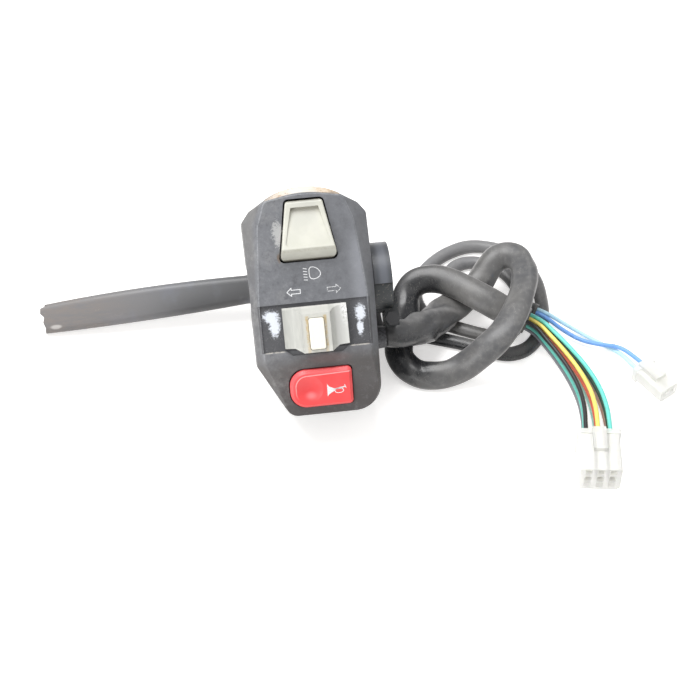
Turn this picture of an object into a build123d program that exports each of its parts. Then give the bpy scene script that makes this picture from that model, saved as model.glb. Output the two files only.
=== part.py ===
from build123d import *
import os
from math import atan2, cos, pi, radians, sin, sqrt, tan

# Left-hand handlebar switch cluster of a scooter: a two-part switch housing with its dip, indicator
# and horn switches, the brake lever with its bracket and brake light switch, and the knotted loom
# with its two connectors. It lies on a table, leaning back on its lower edge, so that the switch
# face looks up. Lengths are in millimetres. X runs along the handlebar towards the stem, Z is up
# and -Y points at the rider. The origin is on the handlebar's axis, in the middle of the housing.
#
# The housing, the switches and the lever are drawn upright, with the switch face towards -Y, and
# are leaned back when they are written. A plane with its offset is then a depth in front of the
# handlebar's axis. The loom is drawn where it lies.

os.makedirs("parts", exist_ok=True)

# Pose on the table
lean_angle = 48.0
floor_level = -48.0

# Clearances
overrun = 3.0
seat_gap = 0.05
pin_gap = 0.05
slide_gap = 0.3
button_gap = 0.45

# Handlebar
bar_radius = 11.1

# Pin of the dip switch rocker, which the face and the dome of the housing follow
rocker_pivot_depth = 19.2
rocker_pivot_height = 23.5
rocker_top_radius = 13.6
rocker_top_margin = 2.1
pin_cover = 4.8

# Housing shells, as seen on the switch face
shell_half_width = 27.4
face_top = rocker_pivot_height + rocker_top_radius + rocker_top_margin
face_top_inset = 3.4
shell_top = face_top + face_top_inset
shell_bottom = 57.0
shell_wall = 2.2
face_depth = rocker_pivot_depth + pin_cover
face_rise = 7.0
shoulder_depth = face_depth - face_rise
face_inset = 3.5
face_half_width = shell_half_width - face_inset
face_bottom = 54.3
rear_shoulder_depth = 14.0
rear_depth = 17.0
rear_shoulder_inset = 1.0
rear_shoulder_half_width = shell_half_width - rear_shoulder_inset
rear_shoulder_top_inset = 1.8
rear_shoulder_top = shell_top - rear_shoulder_top_inset
rear_shoulder_bottom = 55.9
rear_inset = 4.6
rear_half_width = shell_half_width - rear_inset
rear_top_inset = 5.2
rear_top = shell_top - rear_top_inset
rear_bottom = 52.4
# Corners from the lower left, anticlockwise, as shares of the half width and of the top or bottom,
# and their radii as shares of the half width
shoulder_corner_shares = (
    (-0.50, -1.0), (0.97, -1.0), (1.02, 0.0), (1.0, 0.69), (0.875, 0.795),
    (0.0, 1.134), (-0.875, 0.795), (-1.0, 0.69), (-0.975, 0.0), (-0.965, -0.60),
)
face_corner_shares = (
    (-0.46, -1.0), (0.98, -1.0), (1.01, -0.10), (0.89, 0.69), (0.73, 0.955),
    (0.0, 1.03), (-0.73, 0.955), (-0.89, 0.69), (-1.0, -0.10), (-0.99, -0.60),
)
shoulder_radius_shares = (0.20, 0.438, 2.19, 0.11, 0.11, 1.204, 0.11, 0.11, 2.19, 0.11)
face_radius_shares = (0.20, 0.377, 2.51, 0.335, 0.105, 2.51, 0.105, 0.335, 2.51, 0.125)
inner_radius_shares = (0.08, 0.357, 2.38, 0.08, 0.08, 1.19, 0.08, 0.08, 2.38, 0.08)
face_edge = 0.7
bar_rib_inset = 13.1
bar_rib_offset = shell_half_width - bar_rib_inset
bar_rib_width = 2.2
bar_rib_top = 9.2
bar_rib_bottom = 8.4

# Housing screws
screw_inset = 6.8
screw_offset = shell_half_width - screw_inset
screw_rise = 3.5
screw_height = rocker_pivot_height + screw_rise
screw_low_right = 38.0
screw_low_left = 28.5
boss_radius = 4.6
boss_depth = 11.5
boss_gap = 0.4
boss_web = 5.6
post_radius = 4.7
screw_radius = 2.0
screw_head_radius = 3.6
screw_head_height = 2.6
screw_seat_depth = 12.0
screw_reach = 9.5
screw_gap = 0.2
cross_slot_width = 1.0
cross_slot_depth = 1.4

# Lower facet that carries the horn button
facet_crease_height = 33.0
facet_crease_depth = face_depth
facet_angle = 17.35
facet_crease_radius = 14.0

# Label on the domed top
label_half_width = 16.5
label_thickness = 0.15
label_edge = 0.7
label_front = face_depth - face_edge - label_edge
label_back = 3.0
label_foot_inset = 9.2
label_foot = face_top - label_foot_inset

# Dip switch rocker
rocker_bottom_radius = 13.1
rocker_top_proud = 6.1
rocker_bottom_proud = 10.4
rocker_back = 7.2
rocker_side_room = 14.9
rocker_bottom_half_width = shell_half_width - rocker_side_room
rocker_top_share = 0.635
rocker_top_half_width = rocker_bottom_half_width * rocker_top_share
rocker_hollow = 0.8
rocker_corner_radius = 2.7
rocker_opening_radius = 2.2
rocker_side_gap = 0.7
rocker_end_gap = 0.35
rocker_rim = 2.3
rocker_dish_top = 1.9
rocker_dish_bottom = 0.2
rocker_edge_radius = 0.7
pin_radius = 1.5
ear_gap = 1.2
ear_inner = (rocker_top_half_width + rocker_bottom_half_width) / 2 + ear_gap
ear_width = 2.0
ear_half_height = 2.1
dip_leg_half_height = 8.5
dip_base_half_width = rocker_bottom_half_width + rocker_side_gap
dip_base_low = 11.9
dip_base_rise = 12.3
dip_base_high = rocker_pivot_height + dip_base_rise
dip_base_drop = 14.7
dip_base_depth = rocker_pivot_depth - dip_base_drop
dip_base_thickness = 3.0
detent_radius = 1.9
detent_nose_share = 0.8
detent_spring_length = 3.8
detent_hole_depth = 4.6
contact_thickness = 0.7
dip_contact_room = 4.2
dip_contact_offset = ear_inner - dip_contact_room
dip_contact_width = 3.0
dip_contact_length = 10.0

# Recessed band of the indicator switch, lower in the middle where the knob's foot slides
band_top = 7.6
band_bottom = 30.2
band_side_bottom = 28.1
band_foot_half_width = 11.0
band_foot_slope = 2.4
band_side = 0.5
band_half_width = face_half_width - band_side
band_depth = 1.0

# Indicator switch
knob_half_width = 14.0
knob_top = 9.3
knob_bottom = 29.5
knob_side_bottom = 26.9
knob_gap = 0.2
knob_plate = 3.0
knob_boss_half_width = 6.2
knob_boss_rise = 6.5
knob_boss_depth = face_depth + knob_boss_rise
knob_bevel = 5.1
# Middles of the knob's hollow flanks and corners of its foot, as shares of its half width and plate
knob_flank_share = 0.66
knob_hollow_share = 0.22
knob_foot_share = 0.69
knob_foot_drop = 0.3
knob_stem_half_width = 4.8
knob_stem_top = 13.4
knob_stem_bottom = 25.6
knob_stem_end = 12.0
knob_travel = 4.5
slider_half_width = 7.6
slider_top = 11.9
slider_bottom = 27.2
slider_thickness = 4.6
slider_drop = 0.4
indicator_base_half_width = screw_offset - boss_radius - boss_gap
indicator_base_top = 10.2
indicator_base_bottom = 30.2
indicator_base_depth = 6.6
indicator_base_thickness = 2.4
indicator_rail = 1.5
wiper_half_width = 3.0
wiper_thickness = 1.8
indicator_pad_width = 3.0
indicator_pad_spacing = 6.0
indicator_pad_height = 9.0

# Push-to-cancel button in the knob
cancel_half_width = 3.35
cancel_half_height = 6.8
cancel_centre = 21.4
cancel_proud = 1.5
cancel_head = 5.0
cancel_gap = 0.2
cancel_travel = 2.0
cancel_stem_radius = 2.1
cancel_stem_end = 14.5
cancel_corner_radius = 1.0
cancel_spring_radius = 3.0
cancel_spring_wire = 0.5

# Horn button, along the facet from its crease
horn_left_room = 10.4
horn_right_room = 10.1
horn_left = face_half_width - horn_left_room
horn_right = face_half_width - horn_right_room
horn_high = 3.9
horn_low = 21.0
horn_round_radius = 7.2
horn_corner_radius = 1.9
horn_proud = 2.5
horn_depth = 5.5
horn_bevel = 1.3
horn_dish_radius = 16.0
horn_dish_depth = 1.2
horn_dish_centre = 5.2
horn_base_depth = 11.6
horn_base_thickness = 2.0
horn_base_side = 2.1
horn_base_right = horn_right + horn_base_side
horn_base_high = 2.6
horn_post_radius = 1.3
# Radius of the horn's spring as a share of the button's left side
horn_spring_share = 0.37
horn_spring_radius = horn_left * horn_spring_share
horn_spring_wire = 0.7
horn_contact_thickness = 0.8

# Lever bracket and the places of the lever's pivot and cable
collar_radius = 15.9
collar_step = 0.5
collar_seam = 3.0
collar_gap = 0.9
collar_start = shell_half_width + collar_gap
collar_length = 8.1
collar_end = collar_start + collar_length
collar_slit = 2.4
ear_thickness = 5.0
ear_end = 22.0
ear_inset = 4.2
ear_overhang = 2.2
ear_left = collar_start + ear_inset
ear_right = collar_end + ear_overhang
pinch_height = 18.6
pinch_radius = 2.0
pinch_head_radius = 3.4
pinch_head_height = 3.4
pivot_inset = 5.3
pivot_x = collar_start - pivot_inset
pivot_depth = 38.0
slot_radius = 12.0
cable_arm = 13.4
cable_depth = pivot_depth + cable_arm
bracket_half_height = 8.5
bracket_arm = 14.5
bracket_left = collar_start - bracket_arm
bracket_face_depth = rear_depth + seat_gap
lug_offset = 3.2
lug_left = collar_start + lug_offset
lug_length = 8.5
lug_right = lug_left + lug_length
lug_wall = 5.5
lug_depth = cable_depth + lug_wall
cable_hole_radius = 3.4
bracket_corner_radius = 2.5
bracket_screw_inset = 4.8
bracket_screw_x = bracket_left + bracket_screw_inset
bracket_screw_height = 5.0
bracket_screw_reach = pivot_depth - slot_radius

# Brake lever
hub_radius = 6.5
hub_half_height = 4.0
jaw_gap = 0.25
heel_reach = 10.4
heel_rise = 5.0
heel_inner = 3.5
nipple_inset = 2.0
nipple_x = pivot_x - nipple_inset
nipple_boss_radius = 6.0
nipple_radius = 3.2
cable_slot = 2.2
bush_radius = 4.1
bolt_radius = 3.0
bolt_head_radius = 5.0
bolt_head_height = 3.6
nut_height = 4.0
blade_corner_share = 0.36
# Sections of the blade's root and of the blade: distance from the pivot along the bar and behind
# it, height, thickness, blade height
root_sections = (
    (-6.0, 3.6, 0.0, 8.4, 7.8),
    (-11.0, 4.6, 0.0, 8.9, 7.8),
    (-25.0, 6.0, 0.7, 9.6, 11.8),
    (-49.0, 7.7, 0.4, 9.5, 13.4),
)
blade_sections = (
    (-49.0, 7.7, 0.4, 9.5, 13.4),
    (-98.0, 11.0, -1.75, 8.6, 15.7),
    (-147.0, 15.2, -4.5, 7.2, 13.4),
)
blade_root_inset = 5.0
blade_root = pivot_x - blade_root_inset
# The broken end, from its top corner down: distance back from the last section, height
break_points = (
    (3.0, 4.0), (2.9, 1.6), (0.9, 0.9), (0.6, -1.7), (2.3, -3.4), (1.7, -6.0), (2.6, -8.4), (2.2, -12.6),
)

# Brake light switch, in the bracket above the lever's heel
switch_inset = 2.7
switch_x = collar_start + switch_inset
switch_half_width = 3.5
switch_half_height = 4.0
switch_length = 12.6
plunger_reach = 1.8
switch_far = pivot_depth - heel_rise - plunger_reach
switch_near = switch_far - switch_length
switch_gap = 0.15
plunger_radius = 1.6
plunger_hole_depth = 6.0
lead_inset = 6.4
lead_depth = switch_near + lead_inset
nozzle_radius = 2.4
switch_screw_radius = 1.4
switch_screw_head = 2.4
switch_screw_inset = 2.3
switch_screw_depth = switch_near + switch_screw_inset

# Loom sleeve and its grommet
sleeve_diameter = 9.0
grommet_height = 27.0
grommet_depth = 11.0
grommet_neck_radius = 5.4
grommet_flange_radius = 6.4
grommet_flange = 1.4
grommet_reach = 6.1
grommet_end = shell_half_width + grommet_reach
grommet_tip_radius = 4.9
lead_diameter = 5.0

# Wires and connectors
wire_diameter = 2.0
nine_rear = (120.3, -72.0)
nine_turn = -9.0
nine_width = 19.6
nine_height = 15.0
nine_length = 22.0
nine_pitch = 5.4
nine_row = 4.6
two_rear = (150.5, -32.0)
two_turn = 30.0
two_width = 12.0
two_height = 8.0
two_length = 18.0
two_pitch = 4.4
cell_half_width = 1.5
connector_corner_radius = 0.8
latch_width = 6.0
latch_height = 1.6
latch_length = 12.0
rib_height = 0.7
rib_length = 2.4
terminal_half_width = 1.4
terminal_inset = 1.0
terminal_socket = 6.0
wire_entry = 4.5
# Share of the shorter of two runs that the arc between them takes
run_share = 0.45


def finish(piece, label):
    """Lean an upright piece back as it lies, label it and write it."""
    leaned = piece.part.rotate(Axis.X, -lean_angle)
    leaned.label = label
    export_step(leaned, f"parts/{label}.step")


def finish_flat(piece, label):
    """Label and write a piece that is drawn where it lies."""
    piece.part.label = label
    export_step(piece.part, f"parts/{label}.step")


def outline(half_width, top, bottom, corner_shares, radius_shares):
    """Outline of a shell seen on the switch face: domed top, one cut-off and one round foot."""
    corners = [(x * half_width, z * (top if z > 0 else bottom)) for x, z in corner_shares]
    radii = [share * half_width for share in radius_shares]
    with BuildSketch() as shape:
        with BuildLine():
            FilletPolyline(*corners, radius=radii, close=True)
        make_face()
    return shape.sketch


def facet_plane(lift=0.0):
    """Plane of the lower facet, lifted along its normal; its Y runs up along the facet."""
    angle = radians(facet_angle)
    normal = Vector(0, -cos(angle), -sin(angle))
    crease = Vector(0, -facet_crease_depth, -facet_crease_height)
    return Plane(origin=crease + normal * lift, x_dir=(1, 0, 0), z_dir=normal)


screw_places = (
    (-screw_offset, screw_height), (screw_offset, screw_height),
    (screw_offset, -screw_low_right), (-screw_offset, -screw_low_left),
)

# Inside space of the front shell
inner_depth = face_depth - shell_wall
with BuildPart() as front_space:
    with BuildSketch(Plane.XZ.offset(-overrun)):
        add(outline(shell_half_width - shell_wall, shell_top - shell_wall, shell_bottom - shell_wall,
                shoulder_corner_shares, inner_radius_shares))
    extrude(amount=shoulder_depth - shell_wall + overrun)
    with BuildSketch(Plane.XZ.offset(shoulder_depth - shell_wall)):
        add(outline(shell_half_width - shell_wall, shell_top - shell_wall, shell_bottom - shell_wall,
                shoulder_corner_shares, inner_radius_shares))
    with BuildSketch(Plane.XZ.offset(inner_depth)):
        add(outline(face_half_width - shell_wall, face_top - shell_wall, face_bottom - shell_wall,
                face_corner_shares, inner_radius_shares))
    loft()
    split(bisect_by=facet_plane(-shell_wall), keep=Keep.BOTTOM)

# Outer form of the front shell
with BuildPart() as front_form:
    with BuildSketch(Plane.XZ):
        add(outline(shell_half_width, shell_top, shell_bottom,
                    shoulder_corner_shares, shoulder_radius_shares))
    extrude(amount=shoulder_depth)
    with BuildSketch(Plane.XZ.offset(shoulder_depth)):
        add(outline(shell_half_width, shell_top, shell_bottom,
                    shoulder_corner_shares, shoulder_radius_shares))
    with BuildSketch(Plane.XZ.offset(face_depth - face_edge)):
        add(outline(face_half_width, face_top, face_bottom, face_corner_shares, face_radius_shares))
    loft()
    with BuildSketch(Plane.XZ.offset(face_depth - face_edge)):
        add(outline(face_half_width, face_top, face_bottom, face_corner_shares, face_radius_shares))
    with BuildSketch(Plane.XZ.offset(face_depth)):
        add(outline(face_half_width - face_edge, face_top - face_edge, face_bottom - face_edge,
                    face_corner_shares, face_radius_shares))
    loft()
    split(bisect_by=facet_plane(), keep=Keep.BOTTOM)
    crease = front_form.edges().sort_by_distance((0, -facet_crease_depth, -facet_crease_height))[0]
    fillet(crease, facet_crease_radius)

# Front shell
rocker_opening_top = rocker_pivot_height + rocker_top_radius + rocker_end_gap
rocker_opening_bottom = rocker_pivot_height - rocker_bottom_radius - rocker_end_gap
band_floor = face_depth - band_depth
knob_slot_half_width = knob_stem_half_width + knob_travel + slide_gap
with BuildPart() as front_shell:
    add(front_form.part)
    add(front_space.part, mode=Mode.SUBTRACT)
    with BuildSketch(Plane.XZ):
        with Locations(*screw_places):
            Circle(boss_radius)
        for x, height in screw_places:
            with Locations((x + (boss_web / 2 if x > 0 else -boss_web / 2), height)):
                Rectangle(boss_web, boss_web)
    extrude(amount=boss_depth)
    with BuildSketch(Plane.XZ):
        with Locations((-bar_rib_offset, 0), (bar_rib_offset, 0)):
            Rectangle(bar_rib_width, bar_rib_top + bar_rib_bottom)
    extrude(amount=inner_depth + seat_gap)
    with BuildSketch(Plane.XZ.offset(-overrun)):
        with Locations(*screw_places):
            Circle(screw_radius - screw_gap)
    extrude(amount=overrun + screw_reach + screw_gap, mode=Mode.SUBTRACT)
    with BuildSketch(Plane.YZ.offset(-shell_half_width - overrun)):
        Circle(bar_radius)
    extrude(amount=2 * (shell_half_width + overrun), mode=Mode.SUBTRACT)
    with BuildSketch(Plane.XZ.offset(inner_depth - overrun)):
        with BuildLine():
            FilletPolyline(
                (-rocker_top_half_width - rocker_side_gap, rocker_opening_top),
                (-rocker_bottom_half_width - rocker_side_gap, rocker_opening_bottom),
                (rocker_bottom_half_width + rocker_side_gap, rocker_opening_bottom),
                (rocker_top_half_width + rocker_side_gap, rocker_opening_top),
                radius=rocker_opening_radius, close=True,
            )
        make_face()
    extrude(amount=shell_wall + 2 * overrun, mode=Mode.SUBTRACT)
    with BuildSketch(Plane.XZ.offset(band_floor)):
        with BuildLine():
            Polyline(
                (-band_half_width, -band_top), (-band_half_width, -band_side_bottom),
                (-band_foot_half_width - band_foot_slope, -band_side_bottom),
                (-band_foot_half_width, -band_bottom), (band_foot_half_width, -band_bottom),
                (band_foot_half_width + band_foot_slope, -band_side_bottom),
                (band_half_width, -band_side_bottom), (band_half_width, -band_top),
                close=True,
            )
        make_face()
    extrude(amount=band_depth + overrun, mode=Mode.SUBTRACT)
    with BuildSketch(Plane.XZ.offset(inner_depth - overrun)):
        with Locations((0, -(knob_stem_top + knob_stem_bottom) / 2)):
            Rectangle(2 * knob_slot_half_width, knob_stem_bottom - knob_stem_top + 2 * slide_gap)
    extrude(amount=shell_wall + 2 * overrun, mode=Mode.SUBTRACT)


def horn_outline(gap=0.0):
    """Outline of the horn button on its facet, or of its opening with a gap all round."""
    with BuildSketch() as shape:
        with BuildLine():
            FilletPolyline(
                (-horn_left - gap, -horn_high + gap), (-horn_left - gap, -horn_low - gap),
                (horn_right + gap, -horn_low - gap), (horn_right + gap, -horn_high + gap),
                radius=[horn_round_radius, horn_round_radius, horn_corner_radius, horn_corner_radius],
                close=True,
            )
        make_face()
    return shape.sketch


with BuildPart() as horn_opening:
    with BuildSketch(facet_plane(-shell_wall - overrun)):
        add(horn_outline(button_gap))
    extrude(amount=shell_wall + 2 * overrun)

with BuildPart() as front_shell_cut:
    add(front_shell.part)
    add(horn_opening.part, mode=Mode.SUBTRACT)
finish(front_shell_cut, "front_shell")

# Rear shell
rear_inner_depth = rear_depth - shell_wall
with BuildPart() as rear_shell:
    with BuildSketch(Plane.XZ):
        add(outline(shell_half_width, shell_top, shell_bottom,
                    shoulder_corner_shares, shoulder_radius_shares))
    with BuildSketch(Plane.XZ.offset(-rear_shoulder_depth)):
        add(outline(rear_shoulder_half_width, rear_shoulder_top, rear_shoulder_bottom,
                shoulder_corner_shares, shoulder_radius_shares))
    loft()
    with BuildSketch(Plane.XZ.offset(-rear_shoulder_depth)):
        add(outline(rear_shoulder_half_width, rear_shoulder_top, rear_shoulder_bottom,
                shoulder_corner_shares, shoulder_radius_shares))
    with BuildSketch(Plane.XZ.offset(-rear_depth)):
        add(outline(rear_half_width, rear_top, rear_bottom, shoulder_corner_shares, inner_radius_shares))
    loft()
    with BuildSketch(Plane.XZ.offset(-rear_inner_depth)):
        add(outline(rear_half_width - shell_wall / 2, rear_top - shell_wall / 2,
                    rear_bottom - shell_wall / 2, shoulder_corner_shares, inner_radius_shares))
    with BuildSketch(Plane.XZ.offset(overrun)):
        add(outline(shell_half_width - shell_wall, shell_top - shell_wall, shell_bottom - shell_wall,
                shoulder_corner_shares, inner_radius_shares))
    loft(mode=Mode.SUBTRACT)
    with BuildSketch(Plane.XZ.offset(-rear_inner_depth - seat_gap)):
        with Locations(*screw_places):
            Circle(post_radius)
    extrude(amount=rear_inner_depth + seat_gap)
    with BuildSketch(Plane.XZ.offset(-rear_inner_depth - seat_gap)):
        with Locations((-bar_rib_offset, 0), (bar_rib_offset, 0)):
            Rectangle(bar_rib_width, 2 * (bar_radius + 2 * bar_rib_width))
    extrude(amount=rear_inner_depth + seat_gap)
    with BuildSketch(Plane.YZ.offset(-shell_half_width - overrun)):
        Circle(bar_radius)
    extrude(amount=2 * (shell_half_width + overrun), mode=Mode.SUBTRACT)
    with BuildSketch(Plane.XZ.offset(-rear_depth - overrun)):
        with Locations(*screw_places):
            Circle(screw_radius + screw_gap)
    extrude(amount=rear_depth + 2 * overrun, mode=Mode.SUBTRACT)
    with BuildSketch(Plane.XZ.offset(-rear_depth - overrun)):
        with Locations(*screw_places):
            Circle(screw_head_radius + screw_gap)
    extrude(amount=rear_depth + overrun - screw_seat_depth, mode=Mode.SUBTRACT)
    with BuildSketch(Plane.XZ.offset(-rear_depth - overrun)):
        with Locations((bracket_screw_x, bracket_screw_height), (bracket_screw_x, -bracket_screw_height)):
            Circle(screw_radius + screw_gap)
    extrude(amount=shell_wall + 2 * overrun, mode=Mode.SUBTRACT)
    with BuildSketch(Plane.YZ.offset(shell_half_width - 2 * overrun)):
        with Locations((grommet_depth, -grommet_height)):
            Circle(grommet_neck_radius)
    extrude(amount=3 * overrun, mode=Mode.SUBTRACT)
finish(rear_shell, "rear_shell")

# Housing screws, from the back
with BuildPart() as housing_screws:
    with BuildSketch(Plane.XZ.offset(-screw_seat_depth)):
        with Locations(*screw_places):
            Circle(screw_radius - screw_gap - seat_gap)
    extrude(amount=screw_seat_depth + screw_reach)
    with BuildSketch(Plane.XZ.offset(-screw_seat_depth - screw_head_height)):
        with Locations(*screw_places):
            Circle(screw_head_radius)
    extrude(amount=screw_head_height)
    with BuildSketch(Plane.XZ.offset(-screw_seat_depth - screw_head_height)):
        with Locations(*screw_places):
            Rectangle(2 * screw_radius, cross_slot_width)
            Rectangle(cross_slot_width, 2 * screw_radius)
    extrude(amount=cross_slot_depth, mode=Mode.SUBTRACT)
finish(housing_screws, "housing_screws")

# Label bent over the domed top and down to the switch face
with BuildPart() as top_label:
    with BuildSketch(Plane.XZ.offset(label_back)):
        add(outline(shell_half_width + label_thickness, shell_top + label_thickness, shell_bottom,
                    shoulder_corner_shares, shoulder_radius_shares))
    extrude(amount=shoulder_depth - label_back)
    with BuildSketch(Plane.XZ.offset(shoulder_depth)):
        add(outline(shell_half_width + label_thickness, shell_top + label_thickness, shell_bottom,
                    shoulder_corner_shares, shoulder_radius_shares))
    with BuildSketch(Plane.XZ.offset(face_depth - face_edge)):
        add(outline(face_half_width + label_thickness, face_top + label_thickness, face_bottom,
                    face_corner_shares, face_radius_shares))
    loft()
    add(front_form.part, mode=Mode.SUBTRACT)
    with BuildSketch(Plane.XZ.offset(label_back)):
        with Locations((0, label_foot + shell_top / 2)):
            Rectangle(2 * label_half_width, shell_top)
    extrude(amount=label_front - label_back, mode=Mode.INTERSECT)
finish(top_label, "top_label")


def rocker_point(radius, rise, proud):
    """Point on an end face of the rocker, from how far it stands out from the pin."""
    height = sqrt(radius ** 2 - proud ** 2)
    return (-rocker_pivot_depth - proud, rocker_pivot_height + rise * height)


# Dip switch rocker: round end faces about its pin, a sloping hollow front with a thumb dish
rocker_top_point = rocker_point(rocker_top_radius, 1, rocker_top_proud)
rocker_bottom_point = rocker_point(rocker_bottom_radius, -1, rocker_bottom_proud)
rocker_middle_point = (
    (rocker_top_point[0] + rocker_bottom_point[0]) / 2 + rocker_hollow,
    (rocker_top_point[1] + rocker_bottom_point[1]) / 2,
)
with BuildPart() as dip_rocker:
    with BuildSketch(Plane.YZ.offset(-rocker_bottom_half_width)):
        with BuildLine():
            ThreePointArc(rocker_top_point, rocker_middle_point, rocker_bottom_point)
            ThreePointArc(
                rocker_bottom_point, (-rocker_pivot_depth, rocker_pivot_height - rocker_bottom_radius),
                rocker_point(rocker_bottom_radius, -1, -rocker_back),
            )
            Line(rocker_point(rocker_bottom_radius, -1, -rocker_back),
                 rocker_point(rocker_top_radius, 1, -rocker_back))
            ThreePointArc(
                rocker_point(rocker_top_radius, 1, -rocker_back),
                (-rocker_pivot_depth, rocker_pivot_height + rocker_top_radius), rocker_top_point,
            )
        make_face()
    extrude(amount=2 * rocker_bottom_half_width)
    with BuildSketch(Plane.XZ):
        with BuildLine():
            FilletPolyline(
                (-rocker_top_half_width, rocker_pivot_height + rocker_top_radius),
                (-rocker_bottom_half_width, rocker_pivot_height - rocker_bottom_radius),
                (rocker_bottom_half_width, rocker_pivot_height - rocker_bottom_radius),
                (rocker_top_half_width, rocker_pivot_height + rocker_top_radius),
                radius=rocker_corner_radius, close=True,
            )
        make_face()
    extrude(amount=rocker_pivot_depth + 2 * rocker_bottom_proud, mode=Mode.INTERSECT)
    with BuildSketch(Plane.YZ.offset(-pivot_x)):
        with Locations((-rocker_pivot_depth, rocker_pivot_height)):
            Circle(pin_radius + pin_gap)
    extrude(amount=2 * pivot_x, mode=Mode.SUBTRACT)
    with BuildSketch(Plane.XZ.offset(rocker_pivot_depth - rocker_back - overrun)):
        with Locations((0, rocker_pivot_height)):
            Circle(detent_radius + seat_gap)
    extrude(amount=detent_hole_depth + overrun, mode=Mode.SUBTRACT)

# The thumb dish is a tapering pocket, deepest at its top
dish_top = rocker_top_point[1] - rocker_rim
dish_bottom = rocker_bottom_point[1] + rocker_rim / 2
dish_top_half_width = rocker_top_half_width - rocker_rim + rocker_dish_bottom
dish_bottom_half_width = rocker_bottom_half_width - rocker_rim - rocker_dish_bottom
with BuildPart() as thumb_dish:
    with BuildSketch(Plane.YZ.offset(-rocker_bottom_half_width)):
        with BuildLine():
            Polyline(
                (rocker_top_point[0] + rocker_dish_top, dish_top),
                (rocker_bottom_point[0] + rocker_hollow + rocker_dish_bottom, dish_bottom),
                (rocker_bottom_point[0] - overrun, dish_bottom),
                (rocker_bottom_point[0] - overrun, dish_top + rocker_rim / 2),
                close=True,
            )
        make_face()
    extrude(amount=2 * rocker_bottom_half_width)
    with BuildSketch(Plane.XZ.offset(rocker_pivot_depth)):
        with BuildLine():
            FilletPolyline(
                (-dish_top_half_width, dish_top + rocker_rim / 2), (-dish_bottom_half_width, dish_bottom),
                (dish_bottom_half_width, dish_bottom), (dish_top_half_width, dish_top + rocker_rim / 2),
                radius=rocker_corner_radius / 2, close=True,
            )
        make_face()
    extrude(amount=2 * rocker_bottom_proud, mode=Mode.INTERSECT)
with BuildPart() as dished_rocker:
    add(dip_rocker.part)
    fillet(dished_rocker.faces().sort_by(Axis.Y)[0].edges(), rocker_edge_radius)
    add(thumb_dish.part, mode=Mode.SUBTRACT)
finish(dished_rocker, "dip_rocker")

# Rocker pin
with BuildPart() as rocker_pin:
    with BuildSketch(Plane.YZ.offset(-ear_inner - ear_width)):
        with Locations((-rocker_pivot_depth, rocker_pivot_height)):
            Circle(pin_radius)
    extrude(amount=2 * (ear_inner + ear_width))
finish(rocker_pin, "rocker_pin")

# Dip switch base with the two ears of the pin, hung from the face plate by four legs
dip_base_front = dip_base_depth + dip_base_thickness
with BuildPart() as dip_switch_base:
    with BuildSketch(Plane.XZ.offset(dip_base_depth)):
        with Locations((0, (dip_base_low + dip_base_high) / 2)):
            Rectangle(2 * dip_base_half_width, dip_base_high - dip_base_low)
    extrude(amount=dip_base_thickness)
    with BuildSketch(Plane.XZ.offset(dip_base_depth)):
        with Locations((-ear_inner - ear_width / 2, rocker_pivot_height),
                       (ear_inner + ear_width / 2, rocker_pivot_height)):
            Rectangle(ear_width, 2 * ear_half_height)
    extrude(amount=inner_depth - slide_gap - dip_base_depth)
    with BuildSketch(Plane.XZ.offset(dip_base_depth)):
        with Locations((-dip_base_half_width - ear_width / 2, rocker_pivot_height),
                       (dip_base_half_width + ear_width / 2, rocker_pivot_height)):
            Rectangle(ear_width, 2 * dip_leg_half_height)
    extrude(amount=inner_depth - seat_gap - dip_base_depth)
    with BuildSketch(Plane.YZ.offset(-ear_inner - 2 * ear_width)):
        with Locations((-rocker_pivot_depth, rocker_pivot_height)):
            Circle(pin_radius + seat_gap)
    extrude(amount=2 * (ear_inner + 2 * ear_width), mode=Mode.SUBTRACT)
finish(dip_switch_base, "dip_switch_base")

# Contacts of the dip switch
with BuildPart() as dip_contacts:
    with BuildSketch(Plane.XZ.offset(dip_base_front)):
        with Locations((-dip_contact_offset, rocker_pivot_height),
                       (dip_contact_offset, rocker_pivot_height)):
            Rectangle(dip_contact_width, dip_contact_length)
    extrude(amount=contact_thickness)
finish(dip_contacts, "dip_contacts")

# Detent of the rocker: a spring in its back and a round-nosed pin
detent_mouth = rocker_pivot_depth - rocker_back + detent_hole_depth
with BuildPart() as detent_spring:
    with BuildSketch(Plane.XZ.offset(detent_mouth - detent_spring_length)):
        with Locations((0, rocker_pivot_height)):
            Circle(detent_radius - seat_gap)
            Circle(detent_radius / 2, mode=Mode.SUBTRACT)
    extrude(amount=detent_spring_length)
finish(detent_spring, "detent_spring")
with BuildPart() as detent_pin:
    with BuildSketch(Plane.XZ.offset(dip_base_front + slide_gap)):
        with Locations((0, rocker_pivot_height)):
            Circle(detent_radius - seat_gap)
    extrude(amount=detent_mouth - detent_spring_length - dip_base_front - slide_gap)
    fillet(detent_pin.faces().sort_by(Axis.Y)[-1].edges(), detent_radius * detent_nose_share)
finish(detent_pin, "detent_pin")

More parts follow.
